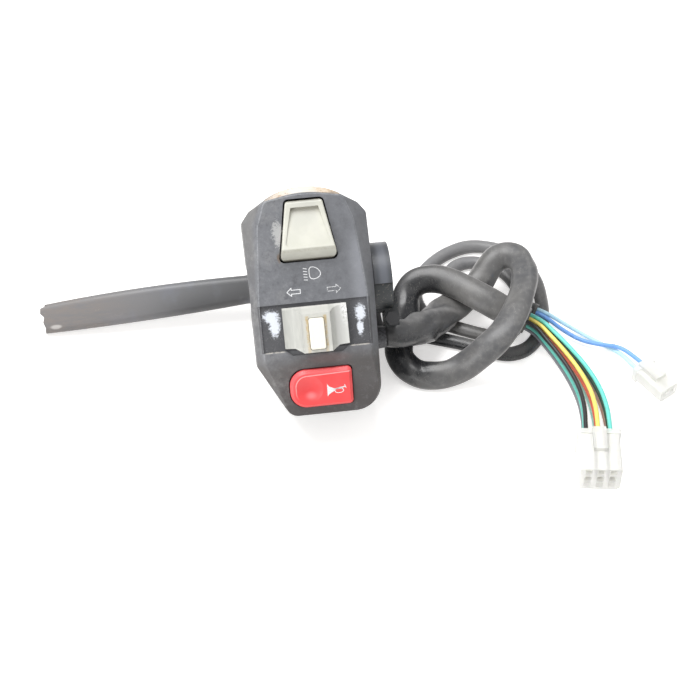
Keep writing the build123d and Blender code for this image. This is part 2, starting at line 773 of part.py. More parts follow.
# Indicator knob: a plate that rises in two hollow flanks to the boss of the cancel button
cancel_head_back = knob_boss_depth + cancel_proud - cancel_head
knob_back = band_floor + knob_gap
knob_plate_depth = knob_back + knob_plate
knob_flank = knob_half_width * knob_flank_share
knob_hollow_depth = knob_plate_depth + knob_plate * knob_hollow_share
knob_foot = knob_half_width * knob_foot_share
with BuildPart() as indicator_knob:
    with BuildSketch(Plane.XY.offset(-knob_bottom)):
        with BuildLine():
            Polyline(
                (knob_half_width, -knob_plate_depth), (knob_half_width, -knob_back),
                (-knob_half_width, -knob_back), (-knob_half_width, -knob_plate_depth),
            )
            ThreePointArc(
                (-knob_half_width, -knob_plate_depth),
                (-knob_flank, -knob_hollow_depth),
                (-knob_boss_half_width, -knob_boss_depth),
            )
            Line((-knob_boss_half_width, -knob_boss_depth), (knob_boss_half_width, -knob_boss_depth))
            ThreePointArc(
                (knob_boss_half_width, -knob_boss_depth),
                (knob_flank, -knob_hollow_depth),
                (knob_half_width, -knob_plate_depth),
            )
        make_face()
    extrude(amount=knob_bottom - knob_top)
    with BuildSketch(Plane.XZ):
        with BuildLine():
            Polyline(
                (-knob_half_width, -knob_top), (-knob_half_width, -knob_side_bottom),
                (-knob_foot, -knob_side_bottom - knob_foot_drop),
                (-knob_boss_half_width, -knob_bottom), (knob_boss_half_width, -knob_bottom),
                (knob_foot, -knob_side_bottom - knob_foot_drop),
                (knob_half_width, -knob_side_bottom), (knob_half_width, -knob_top),
                close=True,
            )
        make_face()
    extrude(amount=knob_boss_depth + overrun, mode=Mode.INTERSECT)
    with BuildSketch(Plane.YZ.offset(-knob_half_width - overrun)):
        with BuildLine():
            Polyline(
                (-knob_boss_depth - overrun, -knob_top - knob_bevel),
                (-knob_plate_depth + knob_plate / 2, -knob_top + seat_gap),
                (-knob_boss_depth - overrun, -knob_top + seat_gap),
                close=True,
            )
        make_face()
    extrude(amount=2 * (knob_half_width + overrun), mode=Mode.SUBTRACT)
    with BuildSketch(Plane.XZ.offset(knob_stem_end)):
        with Locations((0, -(knob_stem_top + knob_stem_bottom) / 2)):
            Rectangle(2 * knob_stem_half_width, knob_stem_bottom - knob_stem_top)
    extrude(amount=knob_back - knob_stem_end + seat_gap)
    with BuildSketch(Plane.XZ.offset(cancel_head_back - cancel_travel - cancel_spring_wire)):
        with Locations((0, -cancel_centre)):
            RectangleRounded(2 * (cancel_half_width + cancel_gap), 2 * (cancel_half_height + cancel_gap),
                             cancel_corner_radius)
    extrude(amount=cancel_head + cancel_travel + overrun, mode=Mode.SUBTRACT)
    with BuildSketch(Plane.XZ):
        with Locations((0, -cancel_centre)):
            Circle(cancel_stem_radius + cancel_gap)
    extrude(amount=knob_boss_depth + overrun, mode=Mode.SUBTRACT)
finish(indicator_knob, "indicator_knob")

# Push-to-cancel button
with BuildPart() as cancel_button:
    with BuildSketch(Plane.XZ.offset(cancel_head_back)):
        with Locations((0, -cancel_centre)):
            RectangleRounded(2 * cancel_half_width, 2 * cancel_half_height, cancel_corner_radius)
    extrude(amount=cancel_head)
    fillet(cancel_button.faces().sort_by(Axis.Y)[0].edges(), cancel_corner_radius / 2)
    with BuildSketch(Plane.XZ.offset(cancel_stem_end)):
        with Locations((0, -cancel_centre)):
            Circle(cancel_stem_radius)
    extrude(amount=cancel_head_back - cancel_stem_end)
finish(cancel_button, "cancel_button")
with BuildPart() as cancel_spring:
    with BuildSketch(Plane.XZ.offset(cancel_head_back - cancel_travel - cancel_spring_wire)):
        with Locations((0, -cancel_centre)):
            Circle(cancel_spring_radius)
            Circle(cancel_spring_radius - cancel_spring_wire, mode=Mode.SUBTRACT)
    extrude(amount=cancel_travel + cancel_spring_wire)
finish(cancel_spring, "cancel_spring")

# Slider that holds the knob from inside
slider_front = inner_depth - slider_drop
with BuildPart() as indicator_slider:
    with BuildSketch(Plane.XZ.offset(slider_front - slider_thickness)):
        with Locations((0, -(slider_top + slider_bottom) / 2)):
            Rectangle(2 * slider_half_width, slider_bottom - slider_top)
        with Locations((0, -(knob_stem_top + knob_stem_bottom) / 2)):
            Rectangle(2 * (knob_stem_half_width + seat_gap), knob_stem_bottom - knob_stem_top + 2 * seat_gap,
                      mode=Mode.SUBTRACT)
    extrude(amount=slider_thickness)
finish(indicator_slider, "indicator_slider")

# Contact wiper under the knob's stem
with BuildPart() as indicator_wiper:
    with BuildSketch(Plane.XZ.offset(knob_stem_end - wiper_thickness)):
        with Locations((0, -(knob_stem_top + knob_stem_bottom) / 2)):
            Rectangle(2 * wiper_half_width, knob_stem_bottom - knob_stem_top)
            Circle(cancel_stem_radius + cancel_gap, mode=Mode.SUBTRACT)
    extrude(amount=wiper_thickness)
finish(indicator_wiper, "indicator_wiper")

# Indicator switch base with its two rails, and the three contact pads on it
indicator_floor = indicator_base_depth + indicator_base_thickness
indicator_middle = -(indicator_base_top + indicator_base_bottom) / 2
with BuildPart() as indicator_base:
    with BuildSketch(Plane.XZ.offset(indicator_base_depth)):
        with Locations((0, indicator_middle)):
            Rectangle(2 * indicator_base_half_width, indicator_base_bottom - indicator_base_top)
    extrude(amount=inner_depth - seat_gap - indicator_base_depth)
    with BuildSketch(Plane.XZ.offset(indicator_floor)):
        with Locations((0, indicator_middle)):
            Rectangle(2 * (indicator_base_half_width + overrun),
                      indicator_base_bottom - indicator_base_top - 2 * indicator_rail)
    extrude(amount=inner_depth, mode=Mode.SUBTRACT)
finish(indicator_base, "indicator_base")
with BuildPart() as indicator_contacts:
    with BuildSketch(Plane.XZ.offset(indicator_floor)):
        with Locations((-indicator_pad_spacing, indicator_middle), (0, indicator_middle),
                       (indicator_pad_spacing, indicator_middle)):
            Rectangle(indicator_pad_width, indicator_pad_height)
    extrude(amount=contact_thickness)
finish(indicator_contacts, "indicator_contacts")

# Horn button on the lower facet, with a bevelled rim and a thumb dish at its round end
horn_middle = -(horn_high + horn_low) / 2
with BuildPart() as horn_button:
    with BuildSketch(facet_plane(-horn_depth)):
        add(horn_outline())
    extrude(amount=horn_depth + horn_proud)
    horn_front = facet_plane(horn_proud).from_local_coords((0, horn_middle, 0))
    chamfer(horn_button.faces().sort_by_distance(horn_front)[0].edges(), horn_bevel)
    with Locations(facet_plane(horn_proud + horn_dish_radius - horn_dish_depth)):
        with Locations((-horn_dish_centre, horn_middle, 0)):
            Sphere(horn_dish_radius, mode=Mode.SUBTRACT)
finish(horn_button, "horn_button")

# Horn switch: base plate on three posts, return spring and contacts
horn_post_places = (
    (horn_right + horn_post_radius + slide_gap, -horn_high - horn_post_radius),
    (horn_right + horn_post_radius + slide_gap, -horn_low + horn_post_radius),
    (-horn_left - seat_gap, -horn_high + slide_gap),
)
with BuildPart() as horn_base:
    with BuildSketch(facet_plane(-horn_base_depth)):
        with BuildLine():
            Polyline(
                (-horn_left - horn_post_radius, -horn_base_high + slide_gap),
                (horn_base_right, -horn_base_high),
                (horn_base_right, -horn_low), (-horn_left / 2, -horn_low),
                (-horn_left - horn_post_radius, (horn_middle - horn_high) / 2),
                close=True,
            )
        make_face()
    extrude(amount=horn_base_thickness)
    with BuildSketch(facet_plane(-horn_base_depth)):
        with Locations(*horn_post_places):
            Circle(horn_post_radius)
    extrude(amount=horn_base_depth - shell_wall - seat_gap)
finish(horn_base, "horn_base")
horn_base_front = horn_base_depth - horn_base_thickness
with BuildPart() as horn_spring:
    with BuildSketch(facet_plane(-horn_base_front)):
        with Locations((0, horn_middle)):
            Circle(horn_spring_radius)
            Circle(horn_spring_radius - horn_spring_wire, mode=Mode.SUBTRACT)
    extrude(amount=horn_base_front - horn_depth)
finish(horn_spring, "horn_spring")
with BuildPart() as horn_contacts:
    with BuildSketch(facet_plane(-horn_base_front)):
        with Locations((-horn_left / 2 - horn_contact_thickness, horn_middle + horn_corner_radius),
                       (horn_right - horn_spring_radius, horn_middle)):
            Rectangle(dip_contact_width, dip_contact_length / 2)
    extrude(amount=horn_contact_thickness)
finish(horn_contacts, "horn_contacts")

# Lever bracket: split collar, arm, two jaws with the pivot, and the cable lug
ear_middle = (ear_left + ear_right) / 2
with BuildPart() as lever_bracket:
    with BuildSketch(Plane.YZ.offset(collar_start)):
        Circle(collar_radius)
    extrude(amount=collar_end - collar_start)
    with BuildSketch(Plane.XZ.offset(-collar_slit / 2 - ear_thickness)):
        with Locations((ear_middle, -ear_end / 2)):
            Rectangle(ear_right - ear_left, ear_end)
    extrude(amount=collar_slit + 2 * ear_thickness)
    with BuildSketch(Plane.XY.offset(-bracket_half_height)):
        with BuildLine():
            Polyline(
                (collar_start, bar_radius), (collar_start, bracket_face_depth),
                (bracket_left, bracket_face_depth), (bracket_left, pivot_depth),
                (pivot_x - hub_radius / 2, pivot_depth + hub_radius + jaw_gap),
                (lug_left, cable_depth - nipple_boss_radius), (lug_left, lug_depth),
                (lug_right, lug_depth), (lug_right, cable_depth - nipple_boss_radius),
                (collar_end, pivot_depth), (collar_end, bar_radius),
                close=True,
            )
        make_face()
    extrude(amount=2 * bracket_half_height)
    fillet(lever_bracket.edges().filter_by(Axis.Z).group_by(Axis.X)[0], bracket_corner_radius)
    with BuildSketch(Plane.YZ.offset(collar_start - overrun)):
        Circle(bar_radius)
    extrude(amount=collar_end - collar_start + 2 * overrun, mode=Mode.SUBTRACT)
    with BuildSketch(Plane.XY.offset(-ear_end - overrun)):
        with Locations(((collar_start + ear_right) / 2, 0)):
            Rectangle(ear_right - collar_start + overrun, collar_slit)
    extrude(amount=ear_end + overrun, mode=Mode.SUBTRACT)
    with BuildSketch(Plane.XZ.offset(-bar_radius)):
        with Locations((ear_middle, -pinch_height)):
            Circle(pinch_radius + screw_gap)
    extrude(amount=2 * bar_radius, mode=Mode.SUBTRACT)
    with BuildSketch(Plane.YZ.offset(collar_start - overrun)):
        with BuildLine():
            Polyline(
                (-collar_radius - overrun, -collar_seam), (0, -collar_seam), (0, -collar_radius - overrun),
                (-collar_radius - overrun, -collar_radius - overrun),
                close=True,
            )
        make_face()
        Circle(collar_radius - collar_step, mode=Mode.SUBTRACT)
        with Locations((0, -ear_end / 2)):
            Rectangle(collar_slit + 2 * ear_thickness, ear_end + overrun, mode=Mode.SUBTRACT)
    extrude(amount=collar_end - collar_start + 2 * overrun, mode=Mode.SUBTRACT)
    with BuildSketch(Plane.XY.offset(-hub_half_height - jaw_gap)):
        with Locations((pivot_x, pivot_depth)):
            Circle(slot_radius)
        with BuildLine():
            Polyline(
                (-pivot_x, pivot_depth - slot_radius), (pivot_x, pivot_depth - slot_radius),
                (lug_left, pivot_depth), (lug_left, lug_depth + overrun), (-pivot_x, lug_depth + overrun),
                close=True,
            )
        make_face()
    extrude(amount=2 * (hub_half_height + jaw_gap), mode=Mode.SUBTRACT)
    with BuildSketch(Plane.XY.offset(-bracket_half_height - overrun)):
        with Locations((pivot_x, pivot_depth)):
            Circle(bolt_radius + pin_gap)
    extrude(amount=2 * (bracket_half_height + overrun), mode=Mode.SUBTRACT)
    with BuildSketch(Plane.YZ.offset(lug_left - overrun)):
        with Locations((cable_depth, 0)):
            Circle(cable_hole_radius)
    extrude(amount=lug_right - lug_left + 2 * overrun, mode=Mode.SUBTRACT)
    with BuildSketch(Plane.XZ.offset(-switch_far - overrun)):
        with Locations((switch_x, 0)):
            Rectangle(2 * (switch_half_width + switch_gap), 2 * (switch_half_height + switch_gap))
    extrude(amount=switch_far + overrun - switch_near + switch_gap, mode=Mode.SUBTRACT)
    with BuildSketch(Plane.XY.offset(-bracket_half_height - overrun)):
        with Locations((switch_x, lead_depth)):
            Circle(nozzle_radius + switch_gap)
        with Locations((switch_x, switch_screw_depth)):
            Circle(switch_screw_radius + seat_gap)
    extrude(amount=bracket_half_height + overrun, mode=Mode.SUBTRACT)
    with BuildSketch(Plane.XY):
        with Locations((switch_x, switch_screw_depth)):
            Circle(switch_screw_radius + seat_gap)
    extrude(amount=bracket_half_height + overrun, mode=Mode.SUBTRACT)
    with BuildSketch(Plane.XY.offset(bracket_half_height)):
        with Locations((switch_x, switch_screw_depth)):
            Circle(switch_screw_head + screw_gap)
    extrude(amount=bar_radius, mode=Mode.SUBTRACT)
    with BuildSketch(Plane.XZ.offset(-bracket_screw_reach - screw_gap)):
        with Locations((bracket_screw_x, bracket_screw_height), (bracket_screw_x, -bracket_screw_height)):
            Circle(screw_radius)
    extrude(amount=bracket_screw_reach, mode=Mode.SUBTRACT)
finish(lever_bracket, "lever_bracket")

# Pinch bolt of the collar
ear_front = collar_slit / 2 + ear_thickness
with BuildPart() as pinch_bolt:
    with BuildSketch(Plane.XZ.offset(-ear_front)):
        with Locations((ear_middle, -pinch_height)):
            Circle(pinch_radius)
    extrude(amount=2 * ear_front)
    with BuildSketch(Plane.XZ.offset(ear_front + seat_gap)):
        with Locations((ear_middle, -pinch_height)):
            RegularPolygon(pinch_head_radius, 6)
    extrude(amount=pinch_head_height)
    with BuildSketch(Plane.XZ.offset(ear_front)):
        with Locations((ear_middle, -pinch_height)):
            Circle(pinch_radius)
    extrude(amount=pinch_head_height)
finish(pinch_bolt, "pinch_bolt")

# Screws that hold the bracket on the rear shell, from inside
with BuildPart() as bracket_screws:
    with BuildSketch(Plane.XZ.offset(-bracket_screw_reach)):
        with Locations((bracket_screw_x, bracket_screw_height), (bracket_screw_x, -bracket_screw_height)):
            Circle(screw_radius - seat_gap)
    extrude(amount=bracket_screw_reach - rear_inner_depth + seat_gap)
    with BuildSketch(Plane.XZ.offset(-rear_inner_depth + seat_gap)):
        with Locations((bracket_screw_x, bracket_screw_height), (bracket_screw_x, -bracket_screw_height)):
            Circle(screw_head_radius - screw_radius / 4)
    extrude(amount=screw_radius)
finish(bracket_screws, "bracket_screws")

# Brake lever: hub with heel and cable eye, and the flat blade with its broken end
last_section = blade_sections[-1]
blade_tip = pivot_x + last_section[0]
with BuildPart() as brake_lever:
    for sections in (root_sections, blade_sections):
        for distance, depth, height, thickness, blade_height in sections:
            middle = (pivot_x + distance, pivot_depth + depth, height)
            with BuildSketch(Plane(origin=middle, x_dir=(0, 1, 0), z_dir=(1, 0, 0))):
                RectangleRounded(thickness, blade_height, thickness * blade_corner_share)
        loft()
    with BuildSketch(Plane.XY.offset(-hub_half_height)):
        with BuildLine():
            Polyline(
                (blade_root - hub_radius / 2, pivot_depth - heel_rise / 8),
                (pivot_x, pivot_depth - hub_radius),
                (pivot_x + heel_inner, pivot_depth - heel_rise),
                (pivot_x + heel_reach, pivot_depth - heel_rise), (pivot_x + heel_reach, pivot_depth),
                (nipple_x + nipple_boss_radius, cable_depth), (nipple_x - nipple_boss_radius, cable_depth),
                (blade_root - hub_radius / 2, pivot_depth + hub_radius),
                close=True,
            )
        make_face()
        with Locations((pivot_x, pivot_depth)):
            Circle(hub_radius)
        with Locations((nipple_x, cable_depth)):
            Circle(nipple_boss_radius)
    extrude(amount=2 * hub_half_height)
    with BuildSketch(Plane.XY.offset(-hub_half_height - overrun)):
        with Locations((pivot_x, pivot_depth)):
            Circle(bush_radius + seat_gap)
        with Locations((nipple_x, cable_depth)):
            Circle(nipple_radius)
    extrude(amount=2 * (hub_half_height + overrun), mode=Mode.SUBTRACT)
    with BuildSketch(Plane.XY.offset(-cable_slot / 2)):
        with Locations((nipple_x + nipple_boss_radius, cable_depth)):
            Rectangle(2 * nipple_boss_radius, cable_slot)
    extrude(amount=cable_slot, mode=Mode.SUBTRACT)
    with BuildSketch(Plane.XZ.offset(-pivot_depth)):
        with BuildLine():
            Polyline(
                (blade_tip - overrun, last_section[2] + last_section[4]),
                *[(blade_tip + inset, height) for inset, height in break_points],
                (blade_tip - overrun, break_points[-1][1] - overrun),
                close=True,
            )
        make_face()
    extrude(amount=-pivot_depth, mode=Mode.SUBTRACT)
finish(brake_lever, "brake_lever")

# Bush and pivot bolt of the lever
with BuildPart() as lever_bush:
    with BuildSketch(Plane.XY.offset(-hub_half_height)):
        with Locations((pivot_x, pivot_depth)):
            Circle(bush_radius)
            Circle(bolt_radius + pin_gap, mode=Mode.SUBTRACT)
    extrude(amount=2 * hub_half_height)
finish(lever_bush, "lever_bush")
with BuildPart() as pivot_bolt:
    with BuildSketch(Plane.XY.offset(-bracket_half_height - nut_height)):
        with Locations((pivot_x, pivot_depth)):
            Circle(bolt_radius)
    extrude(amount=2 * bracket_half_height + nut_height + seat_gap)
    with BuildSketch(Plane.XY.offset(bracket_half_height + seat_gap)):
        with Locations((pivot_x, pivot_depth)):
            Circle(bolt_head_radius)
    extrude(amount=bolt_head_height)
    with BuildSketch(Plane.XY.offset(bracket_half_height + seat_gap + bolt_head_height)):
        with Locations((pivot_x, pivot_depth)):
            Rectangle(2 * bolt_head_radius, cross_slot_width)
    extrude(amount=-cross_slot_depth, mode=Mode.SUBTRACT)
finish(pivot_bolt, "pivot_bolt")
with BuildPart() as pivot_nut:
    with BuildSketch(Plane.XY.offset(-bracket_half_height - seat_gap - nut_height)):
        with Locations((pivot_x, pivot_depth)):
            RegularPolygon(bolt_head_radius, 6)
            Circle(bolt_radius + seat_gap, mode=Mode.SUBTRACT)
    extrude(amount=nut_height)
finish(pivot_nut, "pivot_nut")

# Brake light switch and its plunger, which rests on the lever's heel
heel_depth = pivot_depth - heel_rise
with BuildPart() as brake_light_switch:
    with BuildSketch(Plane.XZ.offset(-switch_far)):
        with Locations((switch_x, 0)):
            Rectangle(2 * switch_half_width, 2 * switch_half_height)
    extrude(amount=switch_far - switch_near)
    with BuildSketch(Plane.XY.offset(-bracket_half_height)):
        with Locations((switch_x, lead_depth)):
            Circle(nozzle_radius)
    extrude(amount=bracket_half_height)
    with BuildSketch(Plane.XZ.offset(-switch_far - overrun)):
        with Locations((switch_x, 0)):
            Circle(plunger_radius + pin_gap)
    extrude(amount=overrun + plunger_hole_depth, mode=Mode.SUBTRACT)
    with BuildSketch(Plane.XY.offset(-switch_half_height - overrun)):
        with Locations((switch_x, switch_screw_depth)):
            Circle(switch_screw_radius + seat_gap)
    extrude(amount=2 * (switch_half_height + overrun), mode=Mode.SUBTRACT)
finish(brake_light_switch, "brake_light_switch")
with BuildPart() as switch_plunger:
    with BuildSketch(Plane.XZ.offset(-heel_depth + seat_gap)):
        with Locations((switch_x, 0)):
            Circle(plunger_radius)
    extrude(amount=heel_depth - seat_gap - switch_far + plunger_hole_depth / 2)
finish(switch_plunger, "switch_plunger")
with BuildPart() as brake_switch_screw:
    with BuildSketch(Plane.XY.offset(-bracket_half_height)):
        with Locations((switch_x, switch_screw_depth)):
            Circle(switch_screw_radius)
    extrude(amount=2 * bracket_half_height)
    with BuildSketch(Plane.XY.offset(bracket_half_height + seat_gap)):
        with Locations((switch_x, switch_screw_depth)):
            Circle(switch_screw_head)
    extrude(amount=switch_screw_radius)
    with BuildSketch(Plane.XY.offset(bracket_half_height)):
        with Locations((switch_x, switch_screw_depth)):
            Circle(switch_screw_radius)
    extrude(amount=switch_screw_radius)
finish(brake_switch_screw, "brake_switch_screw")

# Grommet of the loom in the rear shell's side
with BuildPart() as cable_grommet:
    with BuildSketch(Plane.YZ.offset(shell_half_width - 2 * shell_wall)):
        with Locations((grommet_depth, -grommet_height)):
            Circle(grommet_neck_radius - seat_gap)
    extrude(amount=3 * shell_wall)
    with BuildSketch(Plane.YZ.offset(shell_half_width + slide_gap)):
        with Locations((grommet_depth, -grommet_height)):
            Circle(grommet_flange_radius)
    extrude(amount=grommet_flange)
    with BuildSketch(Plane.YZ.offset(shell_half_width + slide_gap + grommet_flange)):
        with Locations((grommet_depth, -grommet_height)):
            Circle(grommet_neck_radius)
    with BuildSketch(Plane.YZ.offset(grommet_end)):
        with Locations((grommet_depth, -grommet_height)):
            Circle(grommet_tip_radius)
    loft()
finish(cable_grommet, "cable_grommet")


def leaned(x, y, z):
    """Place of an upright point once its piece has been leaned back."""
    angle = radians(lean_angle)
    return (x, y * cos(angle) + z * sin(angle), z * cos(angle) - y * sin(angle))


# Routes of the loom, point by point as it lies. The sleeve leaves its grommet, passes under the
# second strand, folds, crosses over itself and comes back round to its mouth.
sleeve_route = [
    leaned(grommet_end + seat_gap, grommet_depth, -grommet_height), (41.0, -12.7, -26.2),
    (47.6, -9.1, -29.4), (57.8, -0.5, -34.5), (69.9, 11.9, -38.3), (82.9, 22.0, -37.9),
    (91.8, 31.6, -30.0), (97.4, 32.8, -29.2), (101.7, 30.2, -28.0), (103.8, 25.4, -26.8),
    (103.9, 14.6, -24.8),
    (98.7, 0.3, -24.0), (88.2, -18.0, -24.6), (77.5, -23.2, -31.0), (66.8, -24.6, -40.8),
    (54.4, -26.0, -43.3), (43.7, -20.4, -43.3), (39.1, -12.9, -39.6), (42.6, -2.3, -37.4),
    (46.5, 11.1, -37.6), (47.8, 20.1, -35.0), (53.5, 24.0, -31.0), (62.7, 22.4, -29.2),
    (71.7, 16.6, -29.0), (82.4, 7.0, -29.0), (91.6, 1.5, -33.3), (101.8, -3.3, -36.5),
]
lead_route = [
    leaned(switch_x, lead_depth, -bracket_half_height - seat_gap), (31.0, 4.6, -29.5), (32.6, -0.4, -36.6),
    (37.4, -1.4, -43.2), (45.3, 4.4, -45.4), (54.2, 1.1, -45.4), (64.9, -2.8, -45.4), (75.2, -7.6, -45.4),
    (84.4, -13.1, -45.4), (93.4, -15.5, -45.4), (103.1, -11.9, -45.4), (110.7, -0.5, -45.4),
    (113.6, 16.3, -45.4), (113.0, 32.7, -45.4), (106.7, 46.1, -45.4), (96.2, 53.6, -45.4),
    (84.2, 55.9, -45.4), (72.6, 52.0, -45.4), (62.5, 44.6, -45.4), (55.1, 34.4, -45.4),
    (53.2, 22.3, -45.4), (58.3, 12.1, -45.4), (67.2, 6.0, -45.4), (77.8, 0.1, -45.4),
    (88.4, -4.4, -45.4), (98.2, -0.7, -45.4), (103.3, 10.6, -45.4), (103.7, 25.4, -45.4),
    (98.7, 37.9, -45.4), (88.6, 44.5, -45.4), (77.3, 44.7, -45.4), (70.6, 36.9, -45.4),
    (69.0, 27.3, -45.4), (74.2, 20.8, -45.4), (84.6, 19.6, -45.4), (92.7, 15.1, -41.4),
    (100.9, 10.5, -40.0), (108.5, 5.3, -40.2),
]


def free_tube(route, diameter, label):
    """Solid of a cord: straight runs joined by arcs as large as the runs allow."""
    points = [Vector(*point) for point in route]
    runs = [b - a for a, b in zip(points, points[1:])]
    turns = [radians(a.get_angle(b)) for a, b in zip(runs, runs[1:])]
    arcs = zip(runs, runs[1:], turns)
    radii = [run_share * min(a.length, b.length) / tan(turn / 2) for a, b, turn in arcs]
    with BuildPart() as tube:
        with BuildLine() as path:
            FilletPolyline(*points, radius=radii)
        with BuildSketch(Plane(origin=path.line @ 0, z_dir=path.line % 0)):
            Circle(diameter / 2)
        sweep(path=path.line)
    finish_flat(tube, label)
    path_length = path.wire().length
    ideal = pi * diameter ** 2 / 4 * path_length
    print(label, "length", round(path_length, 1), "least radius", round(min(radii), 1),
          "volume share", round(tube.part.volume / ideal, 4))


free_tube(sleeve_route, sleeve_diameter, "loom_sleeve")
free_tube(lead_route, lead_diameter, "brake_light_lead")


def connector_plane(rear, turn, height):
    """Plane of a connector's rear face: X across, Y up, Z the way the wires run in."""
    angle = radians(turn)
    return Plane(origin=(rear[0], rear[1], floor_level + height / 2),
                 x_dir=(cos(angle), sin(angle), 0), z_dir=(sin(angle), -cos(angle), 0))


def connector(plane, width, height, length, places, label):
    """Housing of a connector with its cells, rear collar and latch, and the terminals in it."""
    with BuildPart() as housing:
        with BuildSketch(plane):
            RectangleRounded(width - 2 * rib_height, height - 2 * rib_height, connector_corner_radius)
        extrude(amount=length)
        with BuildSketch(plane):
            RectangleRounded(width, height, connector_corner_radius)
        extrude(amount=rib_length)
        with BuildSketch(plane):
            with Locations((0, height / 2)):
                Rectangle(latch_width, 2 * latch_height)
        extrude(amount=latch_length)
        with BuildSketch(plane):
            with Locations((0, -height / 2 + rib_height / 2)):
                Rectangle(width - 2 * latch_height, rib_height)
        extrude(amount=length)
        with BuildSketch(plane.offset(-overrun)):
            with Locations(*places):
                Rectangle(2 * cell_half_width, 2 * cell_half_width)
        extrude(amount=length + 2 * overrun, mode=Mode.SUBTRACT)
    finish_flat(housing, "connector_" + label)
    with BuildPart() as terminals:
        with BuildSketch(plane.offset(terminal_inset)):
            with Locations(*places):
                Rectangle(2 * terminal_half_width, 2 * terminal_half_width)
        extrude(amount=length - 3 * terminal_inset)
        with BuildSketch(plane.offset(length - 2 * terminal_inset)):
            with Locations(*places):
                Circle(terminal_half_width / 2)
        extrude(amount=-terminal_socket, mode=Mode.SUBTRACT)
    finish_flat(terminals, "terminals_" + label)


nine_plane = connector_plane(nine_rear, nine_turn, nine_height)
nine_places = [(column * nine_pitch, row * nine_row) for row in (1, 0, -1) for column in (1, 0, -1)]
connector(nine_plane, nine_width, nine_height, nine_length, nine_places, "nine_way")
two_plane = connector_plane(two_rear, two_turn, two_height)
two_places = [(-two_pitch / 2, 0), (two_pitch / 2, 0)]
connector(two_plane, two_width, two_height, two_length, two_places, "two_way")

# Middle route of the nine wires, each with the pitch of the bunch across and up, from the sleeve's
# mouth to the connector. Every wire keeps its own place in the bunch.
bunch_stations = [
    ((101.8, -3.3, -36.5), 2.3, 2.3), ((106.1, -5.3, -37.8), 2.5, 2.4), ((110.2, -12.8, -38.6), 2.8, 2.6),
    ((114.9, -22.0, -39.6), 3.3, 3.0), ((119.6, -34.0, -40.3), 4.0, 3.5), ((122.4, -47.0, -40.5), 4.6, 4.0),
    ((122.4, -58.6, -40.5), 5.1, 4.4),
]
nine_wires = ("teal", "yellow", "black", "dark_green", "red", "green", "brown", "pale_green", "grey")


def bunch_route(column, row):
    """Route of one of the nine wires, from its place across and up in the bunch."""
    middles = [Vector(*station[0]) for station in bunch_stations]
    mouth = (Vector(*sleeve_route[-1]) - Vector(*sleeve_route[-2])).normalized()
    runs = [mouth] + [(b - a).normalized() for a, b in zip(middles, middles[1:])]
    route = []
    for middle, station, before, after in zip(middles, bunch_stations, runs, runs[1:] + runs[-1:]):
        travel = before if not route else (before + after).normalized()
        across = Vector(-travel.Y, travel.X, 0).normalized()
        upward = travel.cross(across)
        route.append(middle + across * (column * station[1]) + upward * (row * station[2]))
    route[0] = route[0] + mouth * 2 * seat_gap
    for depth in (-wire_entry, terminal_inset - seat_gap):
        route.append(nine_plane.from_local_coords(Vector(column * nine_pitch, row * nine_row, depth)))
    return [tuple(point) for point in route]


for place, colour in enumerate(nine_wires):
    free_tube(bunch_route(1 - place % 3, 1 - place // 3), wire_diameter, "wire_" + colour)

# The lead's two wires; the light blue one passes under the other
light_blue_middle = [
    (120.1, -0.8, -43.6), (129.5, -7.4, -46.4), (138.0, -14.6, -46.9), (144.2, -20.6, -46.6),
]
blue_middle = [
    (118.4, -4.4, -43.6), (126.1, -10.9, -45.2), (134.3, -15.4, -44.4), (143.8, -17.8, -44.4),
]
lead_end = Vector(*lead_route[-1])
lead_run = (lead_end - Vector(*lead_route[-2])).normalized()
lead_across = Vector(-lead_run.Y, lead_run.X, 0).normalized() * (wire_diameter / 2 + 2 * seat_gap)
two_wires = (("light_blue", 1, light_blue_middle), ("blue", -1, blue_middle))
for colour, side, middle_points in two_wires:
    route = [tuple(lead_end + lead_across * side + lead_run * run) for run in (seat_gap, wire_entry)]
    route += middle_points
    for depth in (-wire_entry, terminal_inset - seat_gap):
        place = Vector(-side * two_pitch / 2, 0, depth)
        route.append(tuple(two_plane.from_local_coords(place)))
    free_tube(route, wire_diameter, "wire_" + colour)
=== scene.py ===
"""Handlebar switch cluster on a white table: finishes, symbols, loom and stage for the loaded model."""
import math

import bmesh
import bpy
from mathutils import Matrix, Vector, noise


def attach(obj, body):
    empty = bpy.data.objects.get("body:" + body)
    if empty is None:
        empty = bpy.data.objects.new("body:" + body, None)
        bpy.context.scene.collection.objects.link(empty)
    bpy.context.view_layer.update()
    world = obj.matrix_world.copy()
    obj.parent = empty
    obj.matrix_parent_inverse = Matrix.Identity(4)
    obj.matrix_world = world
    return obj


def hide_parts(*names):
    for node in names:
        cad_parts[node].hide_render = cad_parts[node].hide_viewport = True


bl_info = {
    "name": "Handlebar Switch Cluster",
    "version": (1, 0, 0),
    "blender": (4, 5, 0),
    "location": "View3D > Sidebar > Switch Cluster",
    "description": "Worn plastic, printed symbols and a wrinkled loom for a handlebar switch cluster",
    "category": "Object",
}

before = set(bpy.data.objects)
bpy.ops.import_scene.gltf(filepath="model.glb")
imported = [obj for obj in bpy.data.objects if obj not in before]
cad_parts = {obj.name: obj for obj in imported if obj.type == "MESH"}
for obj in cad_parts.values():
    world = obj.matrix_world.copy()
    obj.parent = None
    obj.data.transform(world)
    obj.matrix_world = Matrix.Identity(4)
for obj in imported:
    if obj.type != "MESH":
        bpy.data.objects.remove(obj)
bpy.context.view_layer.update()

MM = 0.001
LEAN = math.radians(48.0)

